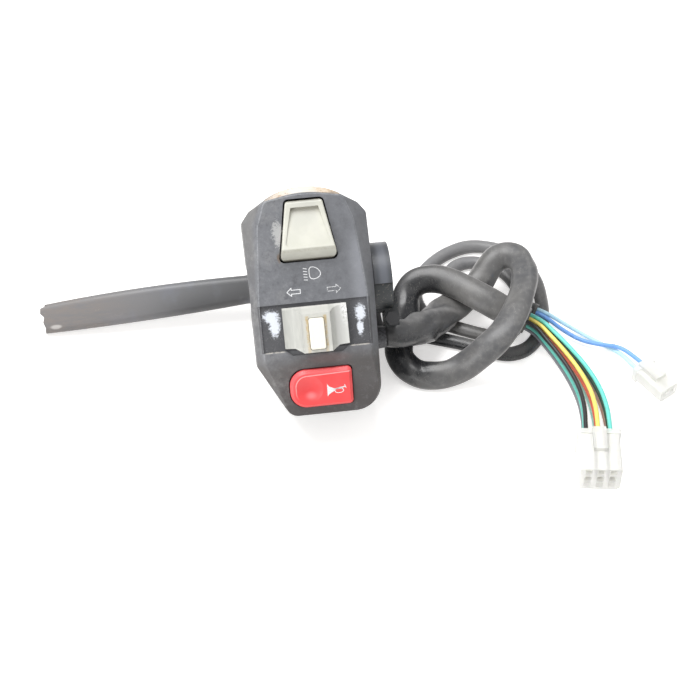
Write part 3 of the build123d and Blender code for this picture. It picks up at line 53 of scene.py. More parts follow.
# Places on the upright housing, in millimetres
FACE_DEPTH = 24.0
BAND_DEPTH = 23.0
BAND_MIDDLE = -17.9
BAND_HALF = 10.0
LABEL_HALF = 16.5
HORN_HEIGHT = 2.5
PRINT_GAP = 0.005
FACET_ANGLE = math.radians(17.35)
FACET_CREASE = Vector((0.0, -24.0, -33.0))

# The table, how close the sleeves come to it and how much it glows for the camera; then the camera
FLOOR_HEIGHT = -48.0
FLOOR_GAP = 0.3
FLOOR_GLOW = 0.52
CAMERA_PLACE = Vector((-51.397, -534.554, 593.990))
CAMERA_AXES = (
    Vector((0.991445, -0.130526, 0.0)),
    Vector((0.099989, 0.759491, 0.642788)),
    Vector((-0.083901, -0.637289, 0.766044)),
)


def leaned(x, depth, height):
    """Point in metres from its place on the upright housing, depth counted towards the rider."""
    c, s = math.cos(LEAN), math.sin(LEAN)
    return Vector((x, height * s - depth * c, height * c + depth * s)) * MM


def add_object(name, data):
    """New object in the scene."""
    made = bpy.data.objects.new(name, data)
    bpy.context.scene.collection.objects.link(made)
    return made


# ---------------------------------------------------------------- settings

def colour_setting(name, description, default):
    """A colour that a user would change."""
    return bpy.props.FloatVectorProperty(name=name, description=description, subtype="COLOR", size=3,
                                         min=0, max=1, default=default)


def number_setting(name, description, default, unit="LENGTH"):
    """A size, a power or a strength that a user would change."""
    return bpy.props.FloatProperty(name=name, description=description, unit=unit, default=default)


class ClusterColours(bpy.types.PropertyGroup):
    """Colours of the plastics, the lever, the sleeves and the print."""

    housing: colour_setting("Housing", "Moulded shells, unworn", (0.142, 0.147, 0.160))
    housing_low: colour_setting("Housing foot", "Browner lower part of the shells", (0.105, 0.099, 0.097))
    rocker: colour_setting("Dip rocker", "Ivory of the dip switch", (0.53, 0.528, 0.465))
    knob: colour_setting("Indicator knob", "Grey of the sliding knob", (0.44, 0.443, 0.415))
    cancel: colour_setting("Cancel button", "Cream of the small button", (0.84, 0.81, 0.71))
    horn: colour_setting("Horn button", "Red of the horn button", (0.84, 0.070, 0.072))
    lever: colour_setting("Lever", "Satin black of the brake lever", (0.062, 0.062, 0.064))
    vinyl: colour_setting("Sleeve", "Vinyl of the loom's sleeves", (0.085, 0.086, 0.090))
    print_white: colour_setting("Symbols", "White of the printed symbols", (0.82, 0.83, 0.84))


class ClusterSizes(bpy.types.PropertyGroup):
    """Sizes of the pieces that the finish adds."""

    sleeve_width: number_setting("Sleeve width", "Width of the flattened main sleeve", 0.0128)
    sleeve_height: number_setting("Sleeve thickness", "Thickness of the flattened main sleeve", 0.0076)
    lead_width: number_setting("Lead width", "Width of the brake light lead's sleeve", 0.0064)
    lead_height: number_setting("Lead thickness", "Thickness of the brake light lead's sleeve", 0.0044)
    wire_diameter: number_setting("Wire diameter", "Outside of a wire's insulation", 0.0020)
    stroke: number_setting("Symbol stroke", "Line width of the printed symbols", 0.00030)
    ink: number_setting("Ink", "Height of the print on the plastic", 0.00004)


class StageSettings(bpy.types.PropertyGroup):
    """Floor, lamps and camera."""

    floor_size: number_setting("Floor", "Side of the table's square", 6.0)
    key_power: number_setting("Key lamp", "Power of the large lamp overhead", 14.5, "POWER")
    fill_power: number_setting("Fill lamp", "Power of the lamp at the front left", 6.5, "POWER")
    world_strength: number_setting("Room", "Strength of the room's light", 0.62, "NONE")
    lens: number_setting("Lens", "Focal length of the camera", 92.06, "NONE")


# ---------------------------------------------------------------- materials

def add_node(tree, kind, settings=None, links=None):
    """Add a node to a tree, set its settings, then give its inputs their values or links."""
    made = tree.nodes.new(kind)
    for key, value in (settings or {}).items():
        if key == "stops":
            ramp = made.color_ramp
            while len(ramp.elements) < len(value):
                ramp.elements.new(1.0)
            for element, (position, colour) in zip(ramp.elements, value):
                element.position = position
                element.color = (*colour, 1.0)
        else:
            setattr(made, key, value)
    for key, value in (links or {}).items():
        socket = made.inputs[key]
        if isinstance(value, Value):
            tree.links.new(value.socket, socket)
        elif isinstance(value, bpy.types.NodeSocket):
            tree.links.new(value, socket)
        elif socket.type == "RGBA" and len(value) == 3:
            socket.default_value = (*value, 1.0)
        else:
            socket.default_value = value
    return made


def worked(operation, swapped=False):
    """A method of Value that one maths node does."""
    def method(self, other):
        return self.maths(operation, *((other, self) if swapped else (self, other)))
    return method


class Value:
    """A number that varies over a surface, for use in ordinary expressions."""

    def __init__(self, look, socket):
        self.look = look
        self.socket = socket

    def maths(self, operation, *numbers):
        """What a maths node makes of some numbers."""
        node = self.look.node("ShaderNodeMath", {"operation": operation}, dict(enumerate(numbers)))
        return Value(self.look, node.outputs[0])

    __add__, __radd__ = worked("ADD"), worked("ADD", True)
    __sub__, __rsub__ = worked("SUBTRACT"), worked("SUBTRACT", True)
    __mul__, __rmul__ = worked("MULTIPLY"), worked("MULTIPLY", True)
    __truediv__, __pow__ = worked("DIVIDE"), worked("POWER")
    # The smaller and the larger of two numbers
    least, most = worked("MINIMUM"), worked("MAXIMUM")

    def __neg__(self):
        return self * -1.0

    def __abs__(self):
        return self.maths("ABSOLUTE", self)

    def rise(self, low, high):
        """0 below low and 1 above high, with a soft step between."""
        node = self.look.node(
            "ShaderNodeMapRange", {"interpolation_type": "SMOOTHSTEP", "clamp": True},
            {"Value": self, "From Min": low, "From Max": high})
        return Value(self.look, node.outputs["Result"])

    def fall(self, low, high):
        """1 below low and 0 above high, with a soft step between."""
        return 1.0 - self.rise(low, high)

    def near(self, middle, half, soft):
        """1 within half of the middle, falling to 0 over the soft distance."""
        return abs(self - middle).fall(half, half + soft)


class Look:
    """A material under construction on the upright housing's coordinates, in millimetres."""

    def __init__(self, name, upright=True):
        self.material = bpy.data.materials.new(name)
        self.material.use_nodes = True
        self.tree = self.material.node_tree
        self.tree.nodes.clear()
        self.colour = None
        mapping = self.node("ShaderNodeMapping", None, {
            "Vector": self.node("ShaderNodeTexCoord").outputs["Object"],
            "Rotation": (LEAN if upright else 0.0, 0.0, 0.0),
            "Scale": (1 / MM, 1 / MM, 1 / MM)})
        self.place = mapping.outputs["Vector"]
        parts = self.node("ShaderNodeSeparateXYZ", None, {"Vector": self.place})
        self.x, self.y, self.height = (Value(self, s) for s in parts.outputs)
        self.depth = -self.y

    def node(self, kind, settings=None, links=None):
        """Add a node to the material."""
        return add_node(self.tree, kind, settings, links)

    def stretched(self, x, y, height):
        """The place scaled along each direction, for patterns that run one way."""
        links = {0: self.place, 1: (x, y, height)}
        return self.node("ShaderNodeVectorMath", {"operation": "MULTIPLY"}, links).outputs[0]

    def cloud(self, scale, detail=4.0, roughness=0.55, place=None):
        """Soft noise from 0 to 1; the scale is in waves to the millimetre."""
        node = self.node("ShaderNodeTexNoise", None, {
            "Vector": place or self.place, "Scale": scale, "Detail": detail, "Roughness": roughness})
        return Value(self, node.outputs["Fac"])

    def cells(self, scale):
        """Distance to the nearest of scattered points."""
        node = self.node("ShaderNodeTexVoronoi", None, {"Vector": self.place, "Scale": scale})
        return Value(self, node.outputs["Distance"])

    def attribute(self, name):
        """A number that the mesh carries at its vertices."""
        return Value(self, self.node("ShaderNodeAttribute", {"attribute_name": name}).outputs["Fac"])

    def blend(self, share, first, second):
        """Colour between two others."""
        node = self.node("ShaderNodeMix", {"data_type": "RGBA"}, {0: share, 6: first, 7: second})
        return node.outputs[2]

    def tint(self, share, shade):
        """Lay a shade over the colour, as far as the share says."""
        self.colour = self.blend(share, self.colour, shade)

    def finish(self, roughness, height=None, bump=0.2, relief=0.0001, **constants):
        """Principled surface from the colour, a roughness and a height for the bump."""
        links = {"Base Color": self.colour, "Roughness": roughness}
        links.update({key.replace("_", " "): value for key, value in constants.items()})
        if height is not None:
            links["Normal"] = self.node(
                "ShaderNodeBump", None, {"Strength": bump, "Distance": relief, "Height": height}).outputs[0]
        shader = self.node("ShaderNodeBsdfPrincipled", None, links)
        self.node("ShaderNodeOutputMaterial", None, {"Surface": shader.outputs[0]})
        return self.material


def paint(material, *nodes):
    """Give pieces of the loaded model their finish."""
    for node in nodes:
        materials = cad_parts[node].data.materials
        if not materials:
            materials.append(material)
        for index in range(len(materials)):
            materials[index] = material


def ellipse(x, height, x_middle, height_middle, half_width, half_height):
    """Distance from an ellipse's middle on the face, 1 on its edge."""
    across, along = (x - x_middle) / half_width, (height - height_middle) / half_height
    return (across * across + along * along) ** 0.5


def front_plastic(colours):
    """Worn black plastic of the front shell: scrapes beside the knob, rubbed edges and dust, with painted
    shade, painted highlights and a painted reflection.
    """
    look = Look("front_plastic")
    x, depth, height = look.x, look.depth, look.height
    broad = look.cloud(0.07, 5.0)
    fine = look.cloud(0.9, 6.0, 0.7)
    grain = look.cloud(4.5, 3.0, 0.6)
    specks = look.cloud(2.2, 6.0, 0.8)
    streaks = look.cloud(0.5, 6.0, 0.75, look.stretched(1.0, 1.0, 0.35))
    lower = height.fall(-36.0, -26.0)
    look.colour = look.blend(lower, colours.housing, colours.housing_low)
    look.tint((broad.rise(0.45, 0.75) * 0.55).least(1.0), (0.185, 0.190, 0.203))
    # Painted shade: the facet is darkest at its foot, the slopes a little darker than the face
    foot = height.fall(-52.0, -34.0).most(x.rise(4.0, 20.0) * 0.6) * lower
    look.tint(foot * 0.8, (0.062, 0.056, 0.055))
    side = depth.fall(20.5, 23.0)
    look.tint(side * (0.55 - x.rise(-5.0, 5.0) * 0.35) * (1.0 - lower), (0.090, 0.089, 0.092))
    # Dull mottling of old plastic: pale dust in its grain, darker handled spots
    mottle = look.cloud(0.32, 9.0, 0.78)
    quiet = 1.0 - (lower * 0.55).most(x.rise(0.0, 18.0) * 0.45)
    look.tint(mottle.rise(0.50, 0.68) * quiet * 0.5, (0.240, 0.244, 0.258))
    look.tint(mottle.fall(0.34, 0.50) * quiet * 0.55, (0.070, 0.071, 0.076))
    drift = look.cloud(0.10, 3.0).rise(0.45, 0.70) * x.fall(-22.0, 4.0)
    look.tint(drift * mottle.rise(0.35, 0.60) * 0.45, (0.27, 0.268, 0.262))
    # Painted shade darkens the recessed floor of the band
    band = height.near(BAND_MIDDLE, BAND_HALF + 0.1, 0.25) * depth.near(BAND_DEPTH - 0.1, 0.75, 0.2)
    look.tint(band * 0.85, (0.055, 0.055, 0.060))
    # Dust on the upper left slope and along the top
    dusty = side * x.fall(-24.0, -13.0) * height.rise(0.0, 26.0) * (0.55 + fine * 0.6)
    dusty = dusty.most(side * height.rise(30.0, 37.0) * fine.rise(0.45, 0.7) * 0.5)
    look.tint((dusty * 0.5).least(1.0), (0.21, 0.205, 0.195))
    # Rubbed edge of the face, with a painted highlight along its right side and a painted sheen beside it
    edge = depth.near(23.62, 0.18, 0.12) * fine.rise(0.35, 0.6) * height.rise(-32.0, -30.0)
    right = edge * x.rise(21.0, 22.5) * height.near(6.0, 12.0, 8.0)
    look.tint((edge * 0.30).most(right * 0.8), (0.40, 0.41, 0.43))
    sheen = x.rise(15.5, 21.5) * height.near(4.0, 9.0, 12.0) * depth.rise(22.6, 23.4)
    look.tint(sheen * 0.45, (0.30, 0.31, 0.34))
    # Painted highlight along the band's lower ledge
    ledge_highlight = height.near(-28.15, 0.16, 0.22) * depth.rise(22.6, 23.2)
    ledge_highlight = ledge_highlight * abs(x).rise(13.5, 15.5) * abs(x).fall(21.8, 23.5)
    look.tint(ledge_highlight * streaks.rise(0.35, 0.55), (0.50, 0.48, 0.44))
    # Scraped white patches in the band, one on each side of the knob
    ragged = (fine - 0.5) * 2.0 + (specks - 0.5) * 1.4
    patch = ellipse(x, height, -18.9, -12.6, 3.2, 2.4).least(ellipse(x, height, -17.6, -16.6, 2.0, 4.2))
    patch = patch.least(ellipse(x, height, 20.1, -14.2, 2.0, 3.2))
    patch = patch.least(ellipse(x, height, 19.5, -20.6, 1.2, 3.0))
    patch = (1.0 - (patch + ragged).rise(0.75, 1.35)) * depth.near(BAND_DEPTH, 0.5, 0.5)
    patch = patch * height.near(BAND_MIDDLE, BAND_HALF - 0.1, 0.3)
    look.tint(patch, (0.66, 0.69, 0.75))
    # Scattered scratches at the band's ends and whitish scuffs left of the rocker
    scratch = specks.rise(0.60, 0.66) * abs(x).rise(14.0, 15.0)
    scratch = scratch * height.near(BAND_MIDDLE, BAND_HALF, 0.3) * depth.near(BAND_DEPTH, 0.4, 0.4)
    look.tint(scratch * 0.7, (0.42, 0.42, 0.43))
    scuff = 1.0 - (ellipse(x, height, -12.4, 22.8, 2.0, 4.6) + ragged * 1.7).rise(0.7, 1.4)
    look.tint(scuff * depth.rise(23.4, 23.9) * 0.6, (0.52, 0.52, 0.51))
    # Old grime with a little rust in the opening's lower left corner
    corner = 1.0 - (ellipse(x, height, -12.9, 12.4, 1.0, 2.2) + ragged * 0.7).rise(0.5, 1.2)
    look.tint(corner * 0.6, (0.12, 0.070, 0.03))
    # Painted reddish reflection on the lip between the knob and the horn button
    glow = ellipse(x, height, 4.0, -32.5, 11.0, 2.6)
    look.tint(glow.fall(0.3, 1.2) * 0.4, (0.18, 0.105, 0.100))
    # Fine hairlines over the whole face
    hair = look.cloud(1.6, 2.0, 0.4, look.stretched(0.12, 1.0, 1.6)).near(0.5, 0.004, 0.006)
    look.tint(hair * fine.rise(0.5, 0.7) * 0.35, (0.34, 0.34, 0.35))
    roughness = 0.47 + fine * 0.12 + (patch + scuff * 0.6).least(1.0) * 0.25 + lower * 0.05
    relief = grain * 0.5 + fine * 0.35 + patch * 0.6
    return look.finish(roughness, relief, bump=0.35, relief=0.00006)


def rear_plastic(colours):
    """Black plastic of the rear shell, with its seam and a little dust."""
    look = Look("rear_plastic")
    fine = look.cloud(0.8, 6.0, 0.7)
    grain = look.cloud(4.5, 3.0, 0.6)
    look.colour = look.blend(look.height.fall(-40.0, -22.0), colours.housing, colours.housing_low)
    # Painted shade: the rear shell is darker all over
    look.tint(0.35, (0.045, 0.045, 0.048))
    look.tint(look.cloud(0.06, 5.0).rise(0.45, 0.8) * 0.5, (0.15, 0.15, 0.155))
    look.tint(look.depth.near(-0.1, 0.25, 0.3) * 0.8, (0.012, 0.012, 0.012))
    foot = look.depth.fall(-16.6, -15.4) * fine.rise(0.5, 0.62)
    look.tint(foot * 0.5, (0.27, 0.26, 0.25))
    return look.finish(0.45 + fine * 0.18, grain * 0.5 + fine * 0.4, bump=0.35, relief=0.00006)


def label_film():
    """Faded printed film over the domed top: cream with orange and white drifts."""
    look = Look("label_film")
    drift = look.cloud(0.16, 5.0, 0.6, look.stretched(1.0, 1.6, 1.0))
    flecks = look.cloud(0.9, 6.0, 0.75)
    along = look.x / (2 * LABEL_HALF) + 0.5 + (drift - 0.5) * 0.55
    look.colour = look.node("ShaderNodeValToRGB", {"stops": [
        (0.06, (0.38, 0.34, 0.30)), (0.18, (0.60, 0.52, 0.43)), (0.40, (0.64, 0.62, 0.57)),
        (0.62, (0.66, 0.63, 0.56)), (0.80, (0.60, 0.46, 0.31)), (0.97, (0.38, 0.29, 0.21))]},
        {"Fac": along}).outputs[0]
    look.tint(flecks.rise(0.54, 0.62) * 0.8, (0.70, 0.69, 0.66))
    stain = look.cloud(0.35, 5.0, 0.7).rise(0.54, 0.62) * (abs(look.x).rise(2.0, 7.0) * 0.7)
    look.tint(stain, (0.36, 0.22, 0.12))
    # Painted shadow: a dark line under the film's edge towards its right end
    label_edge_shadow = look.height.near(38.6, 0.25, 0.35) * look.depth.rise(18.0, 20.0) * look.x.rise(2.0, 6.0)
    look.tint(label_edge_shadow * 0.6, (0.05, 0.048, 0.045))
    worn = (flecks + abs(look.x) / LABEL_HALF * 0.35).rise(0.86, 0.92)
    look.tint(worn, (0.12, 0.11, 0.10))
    return look.finish(0.38 + flecks * 0.2, flecks, bump=0.25, relief=0.00005)


def ivory_plastic(colours):
    """Ivory rocker with painted shade in its dish and where it sinks, and grime along its rim."""
    look = Look("ivory_plastic")
    fine = look.cloud(0.9, 6.0, 0.65)
    broad = look.cloud(0.12, 4.0)
    look.colour = look.blend(broad.rise(0.4, 0.7) * 0.4, colours.rocker, (0.66, 0.65, 0.58))
    # Painted shade: the dish is greyest in its deep upper part
    dish_shade = abs(look.x).fall(4.0, 7.2) * look.height.rise(19.0, 30.0)
    look.tint(dish_shade * 0.3, (0.42, 0.42, 0.40))
    # Painted shade, a little browner, where the rocker sinks into its opening
    buried = look.depth.fall(22.6, 24.8)
    look.tint(buried * 0.6, (0.28, 0.25, 0.19))
    grime = look.height.near(14.9, 0.35, 0.5) * fine.rise(0.40, 0.65)
    look.tint(grime * 0.35, (0.36, 0.32, 0.24))
    flecks = look.cells(0.9).rise(0.02, 0.07)
    look.tint((1.0 - flecks) * fine.rise(0.45, 0.6) * 0.5, (0.33, 0.30, 0.25))
    return look.finish(0.36 + fine * 0.16, fine, bump=0.12, relief=0.00006, Subsurface_Weight=0.06,
                       Subsurface_Radius=(0.002, 0.002, 0.0015))


def grey_plastic(colours):
    """Worn grey indicator knob with a stain round the cancel button, rubbed edges and painted shade nearest
    the shell.
    """
    look = Look("grey_plastic")
    x, height, depth = look.x, look.height, look.depth
    fine = look.cloud(0.9, 6.0, 0.7)
    streaks = look.cloud(0.45, 5.0, 0.65, look.stretched(2.2, 1.0, 0.35))
    look.colour = look.blend(streaks.rise(0.4, 0.7) * 0.5, colours.knob, (0.54, 0.54, 0.50))
    look.tint(x.rise(8.0, 9.5) * 0.6, (0.62, 0.62, 0.60))
    boss = abs(x).fall(5.4, 6.4)
    look.tint(boss * 0.45, (0.60, 0.595, 0.55))
    ring = abs(x).near(3.9, 0.35, 0.7) * height.near(-21.6, 7.6, 0.8)
    look.tint(ring * fine.rise(0.3, 0.6) * 0.75, (0.46, 0.33, 0.13))
    # Painted shade, a little browner, on the knob's parts nearest the shell
    low = depth.fall(23.4, 24.6)
    look.tint(low * 0.65, (0.20, 0.18, 0.15))
    chips = x.rise(10.2, 12.8) * height.rise(-21.0, -12.0) * fine.rise(0.44, 0.54)
    look.tint(chips * 0.9, (0.80, 0.80, 0.80))
    pits = x.rise(11.0, 12.5) * height.rise(-20.0, -10.0) * look.cloud(1.3, 5.0, 0.7).rise(0.56, 0.62)
    look.tint(pits * 0.8, (0.16, 0.15, 0.15))
    rim = height.near(-9.5, 0.4, 0.5).most(height.fall(-27.5, -26.6)) * fine.rise(0.35, 0.6)
    look.tint(rim * 0.4, (0.66, 0.65, 0.61))
    return look.finish(0.42 + fine * 0.2, fine * 0.7 + chips, bump=0.3, relief=0.00008,
                       Subsurface_Weight=0.05, Subsurface_Radius=(0.002, 0.002, 0.002))


def cream_plastic(colours):
    """Cream cancel button, dirty towards its foot."""
    look = Look("cream_plastic")
    fine = look.cloud(0.9, 5.0, 0.6)
    buried = look.depth.fall(29.6, 31.0)
    look.colour = look.blend(buried * 0.8, colours.cancel, (0.50, 0.36, 0.14))
    look.tint(fine.rise(0.55, 0.75) * 0.25, (0.78, 0.70, 0.52))
    return look.finish(0.36 + fine * 0.12, fine, bump=0.1, relief=0.00005, Subsurface_Weight=0.05,
                       Subsurface_Radius=(0.002, 0.002, 0.001))


def facet_height(look):
    """Distance above the lower facet, and the way up along it, on a look's coordinates."""
    c, s = math.cos(FACET_ANGLE), math.sin(FACET_ANGLE)
    out = (look.depth + FACET_CREASE.y) * c - (look.height - FACET_CREASE.z) * s
    return out, (look.height - FACET_CREASE.z) * c + (look.depth + FACET_CREASE.y) * s


def red_plastic(colours):
    """Red horn button with a painted highlight line along its bevel, painted highlight and shade in its
    dish, painted shade at its foot, and fine wear.
    """
    look = Look("red_plastic")
    out, along = facet_height(look)
    fine = look.cloud(1.0, 6.0, 0.7)
    broad = look.cloud(0.12, 4.0)
    look.colour = look.blend(broad.rise(0.35, 0.75) * 0.6, colours.horn, (0.88, 0.100, 0.105))
    beside = (-look.x - 6.3).most(0.0)
    beyond = (abs(along + 12.45) - 1.35).most(0.0)
    round_end = (beside * beside + beyond * beyond) ** 0.5
    # Painted highlight on the bevel's upper part, with a pale painted highlight line along it
    upper = along.rise(-17.5, -12.0)
    look.tint(round_end.rise(5.0, 5.4) * upper * 0.5, (0.84, 0.125, 0.135))
    line = round_end.near(5.05 + look.x * 0.03, 0.06, 0.30) * upper * look.x.fall(12.6, 13.4)
    look.tint(line * (0.5 + fine * 0.5), (0.92, 0.50, 0.50))
    # Painted shade in the dish, with a painted highlight low in it
    dish_shade = ((look.x + 5.2) * (look.x + 5.2) + (along + 12.45) * (along + 12.45)) ** 0.5
    look.tint(dish_shade.fall(1.0, 6.0) * 0.25, (0.60, 0.035, 0.042))
    shine = ((look.x + 4.6) * (look.x + 4.6) * 0.5 + (along + 15.6) * (along + 15.6)) ** 0.5
    look.tint(shine.fall(0.2, 2.4) * 0.5, (0.95, 0.35, 0.36))
    # Painted shade where the button sinks into its pocket
    buried = out.fall(-0.3, 0.5)
    look.tint(buried * 0.7, (0.10, 0.010, 0.012))
    specks = (1.0 - look.cells(0.7).rise(0.02, 0.06)) * fine.rise(0.5, 0.6)
    look.tint(specks * 0.5, (0.25, 0.03, 0.03))
    return look.finish(0.34 + fine * 0.12, fine, bump=0.08, relief=0.00005)


def dark_bolt():
    """Blackened steel with rubbed spots."""
    look = Look("dark_bolt")
    fine = look.cloud(0.7, 6.0, 0.7)
    broad = look.cloud(0.10, 4.0)
    look.colour = look.blend(broad.rise(0.35, 0.75) * 0.5, (0.03, 0.03, 0.032), (0.0405, 0.0405, 0.0432))
    look.tint(fine.rise(0.62, 0.70) * look.cloud(0.2, 3.0).rise(0.5, 0.65) * 0.7, (0.30, 0.28, 0.26))
    return look.finish(0.36 + fine * 0.16, fine, bump=0.18, relief=0.00008)


def stub_metal():
    """Dark collar of the bracket: painted bluish sheen and highlight above its seam, painted shade below it
    and by the housing, and brown dust below.
    """
    look = Look("stub_metal")
    fine = look.cloud(0.8, 6.0, 0.7)
    # Painted sheen makes the collar bluish and lighter above its seam, painted shade darker below it
    below = look.height.fall(-3.4, -2.6)
    look.colour = look.blend(below, (0.066, 0.070, 0.079), (0.036, 0.040, 0.042))
    # Painted highlight near the collar's outer end
    lit = look.x.near(32.6, 0.7, 2.4) * (1.0 - below)
    look.tint(lit * 0.6, (0.150, 0.160, 0.185))
    # Painted shade next to the housing
    inner = look.x.fall(24.5, 28.5) * 0.5
    look.tint(inner, (0.030, 0.031, 0.034))
    seam = look.height.near(-3.0, 0.12, 0.25)
    look.tint(seam * 0.9, (0.006, 0.006, 0.006))
    specks = below * fine.rise(0.56, 0.64) * look.cloud(1.6, 4.0).rise(0.5, 0.6)
    look.tint(specks * 0.6, (0.30, 0.27, 0.23))
    return look.finish(0.30 + fine * 0.18 + below * 0.1, fine, bump=0.2, relief=0.00008)


def lever_finish(colours):
    """Satin black lever, brown and scuffed towards its tip, bright grey where it broke."""
    look = Look("lever_black")
    x = look.x
    fine = look.cloud(0.6, 6.0, 0.7)
    broad = look.cloud(0.07, 4.0)
    streaks = look.cloud(0.35, 5.0, 0.7, look.stretched(0.25, 1.0, 1.2))
    # Painted light along its upper side and towards the middle, painted shade low beside the housing
    up = (look.height - (x + 26.0) * 0.04).rise(-6.0, 5.5)
    look.colour = look.blend(up * (1.0 - x.rise(-58.0, -20.0) * 0.5), colours.lever, (0.135, 0.137, 0.142))
    look.tint(broad.rise(0.35, 0.75) * 0.35, (0.095, 0.094, 0.094))
    worn = x.fall(-80.0, -45.0)
    look.tint(worn * 0.65, (0.185, 0.183, 0.188))
    tip = x.fall(-112.0, -66.0)
    look.tint(tip * streaks.rise(0.25, 0.7) * 0.6, (0.215, 0.180, 0.155))
    scuffs = tip * fine.rise(0.58, 0.68) * streaks.rise(0.45, 0.6)
    look.tint(scuffs * 0.5, (0.33, 0.29, 0.26))
    spot = 1.0 - (ellipse(x, look.height, -116.3, -8.4, 2.4, 0.9) + (broad - 0.5) * 2.0).rise(0.5, 1.3)
    look.tint(spot * 0.8, (0.46, 0.44, 0.42))
    bluish = broad.rise(0.50, 0.70) * x.rise(-100.0, -80.0)
    look.tint(bluish * 0.35, (0.170, 0.180, 0.215))
    # The broken face points along the blade
    along = look.node("ShaderNodeSeparateXYZ", None,
                      {"Vector": look.node("ShaderNodeNewGeometry").outputs["True Normal"]}).outputs[0]
    broken = x.fall(-115.5, -113.5) * (-Value(look, along)).rise(0.55, 0.75)
    crystals = look.cells(2.2).rise(0.1, 0.6)
    metal = look.blend(crystals, (0.42, 0.42, 0.42), (0.80, 0.80, 0.79))
    look.tint(broken, metal)
    roughness = 0.34 + fine * 0.16 + tip * 0.12 + broken * 0.2
    return look.finish(roughness, fine + crystals * broken * 3.0, bump=0.25, relief=0.0001,
                       Metallic=broken * 0.5)


def vinyl_sleeve(colours):
    """Dusty vinyl with glossy stretches blackened by painted shade, pale creases with painted highlights on
    the pleats, and scratches.
    """
    look = Look("vinyl_sleeve", upright=False)
    fine = look.cloud(0.35, 4.0, 0.5)
    broad = look.cloud(0.045, 3.0)
    fold = look.attribute("fold")
    scratches = look.cloud(0.7, 3.0, 0.6, look.stretched(1.0, 0.25, 1.0)).near(0.5, 0.006, 0.012)
    look.colour = look.blend(broad.rise(0.35, 0.70), colours.vinyl, (0.130, 0.127, 0.122))
    dust = fine.rise(0.35, 0.75)
    look.tint(dust * 0.35, (0.185, 0.182, 0.178))
    # Painted shade makes stretches blacker; they are shinier there too
    clean = (look.attribute("clean") + (fine - 0.5) * 0.5).rise(0.25, 0.75)
    look.tint(clean * 0.9, (0.016, 0.017, 0.020))
    # The far turns of the thin lead catch the light
    look.tint(look.y.rise(32.0, 46.0) * 0.55, (0.30, 0.30, 0.31))
    look.tint(scratches * dust * 0.4, (0.30, 0.29, 0.27))
    # Pale creases, and painted highlights on the pleats' ridges
    look.tint((fold * (0.5 + fine * 0.6)).least(1.0), (0.40, 0.39, 0.385))
    roughness = 0.33 + dust * 0.12 - clean * 0.17
    return look.finish(roughness, fine + fold * 0.4, bump=0.10, relief=0.0001)


def mottled(name, shades, rough, scale=0.9, grain=0.65, patches=(0.4, 0.7), share=1.0, bump=0.1,
            relief=0.00005, upright=True, **constants):
    """Plain finish of two shades in soft patches; rough gives the least roughness and its spread."""
    look = Look(name, upright)
    fine = look.cloud(scale, 5.0, grain)
    look.colour = look.blend(fine.rise(*patches) * share, *shades)
    return look.finish(rough[0] + fine * rough[1], fine, bump=bump, relief=relief, **constants)


PLAIN_FINISHES = {
    # Rubber of the grommet, greyed and shiny as the sleeve beside it
    "rubber_black": {"shades": ((0.060, 0.061, 0.066), (0.130, 0.130, 0.138)), "rough": (0.36, 0.2),
                     "scale": 1.2, "grain": 0.6, "bump": 0.3, "relief": 0.0001},
    # Milky translucent nylon of the connectors
    "milky_nylon": {"shades": ((0.97, 0.97, 0.95), (0.92, 0.93, 0.86)), "rough": (0.34, 0.12),
                    "scale": 0.35, "grain": 0.6, "patches": (0.4, 0.75), "share": 0.6, "relief": 0.0001,
                    "upright": False, "Transmission_Weight": 0.45, "IOR": 1.25, "Alpha": 0.78},
    # Terminals in the connectors
    "tinned_contact": {"shades": ((0.88, 0.87, 0.82), (0.78, 0.75, 0.68)), "rough": (0.40, 0.2),
                       "scale": 1.1, "upright": False, "Metallic": 0.25},
    # Screws, springs and pins
    "plated_steel": {"shades": ((0.50, 0.49, 0.46), (0.28, 0.25, 0.21)), "rough": (0.32, 0.22),
                     "bump": 0.2, "relief": 0.00006, "Metallic": 1.0},
    # Contacts and the lever's bush
    "contact_brass": {"shades": ((0.62, 0.46, 0.20), (0.36, 0.25, 0.10)), "rough": (0.30, 0.2),
                      "scale": 1.1, "bump": 0.15, "Metallic": 1.0},
    # Brown moulded bases of the switches
    "inner_plastic": {"shades": ((0.070, 0.055, 0.040), (0.13, 0.11, 0.085)), "rough": (0.5, 0.15),
                      "bump": 0.2, "relief": 0.00006},
}


def plain(name):
    """One of the plain finishes."""
    return mottled(name, **PLAIN_FINISHES[name])


def insulation(colour, shade):
    """Wire insulation with slight soiling."""
    return mottled("insulation_" + colour, (shade, tuple(v * 0.62 for v in shade)), (0.30, 0.15), 0.5, 0.6,
                   (0.45, 0.8), 0.5, upright=False)


def printed_white(name, colours, faded):
    """White print, rubbed thin in places."""
    look = Look(name)
    fine = look.cloud(1.6, 6.0, 0.75)
    dull = (fine.rise(0.5, 0.75) * 0.5).most(faded * 0.55)
    look.colour = look.blend(dull, colours.print_white, (0.34, 0.34, 0.35))
    cover = 1.0 - fine.rise(0.62 - faded * 0.20, 0.74 - faded * 0.20) * (0.6 + faded * 0.4)
    return look.finish(0.5 + fine * 0.1, Alpha=cover)


# ---------------------------------------------------------------- geometry

def show(name, mesh, body, material):
    """Make an object of a mesh, give it its finish and let it ride on its body."""
    piece = add_object(name, mesh)
    mesh.materials.append(material)
    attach(piece, body)
    return piece


def route_line(name, route):
    """Smooth line through space: a spline with the route as its control points."""
    curve = bpy.data.curves.new(name, "CURVE")
    curve.dimensions = "3D"
    curve.resolution_u = 14
    spline = curve.splines.new("NURBS")
    spline.points.add(len(route) - 1)
    for point, place in zip(spline.points, route):
        point.co = (*(Vector(place) * MM), 1.0)
    spline.order_u = 3
    spline.use_endpoint_u = True
    return curve


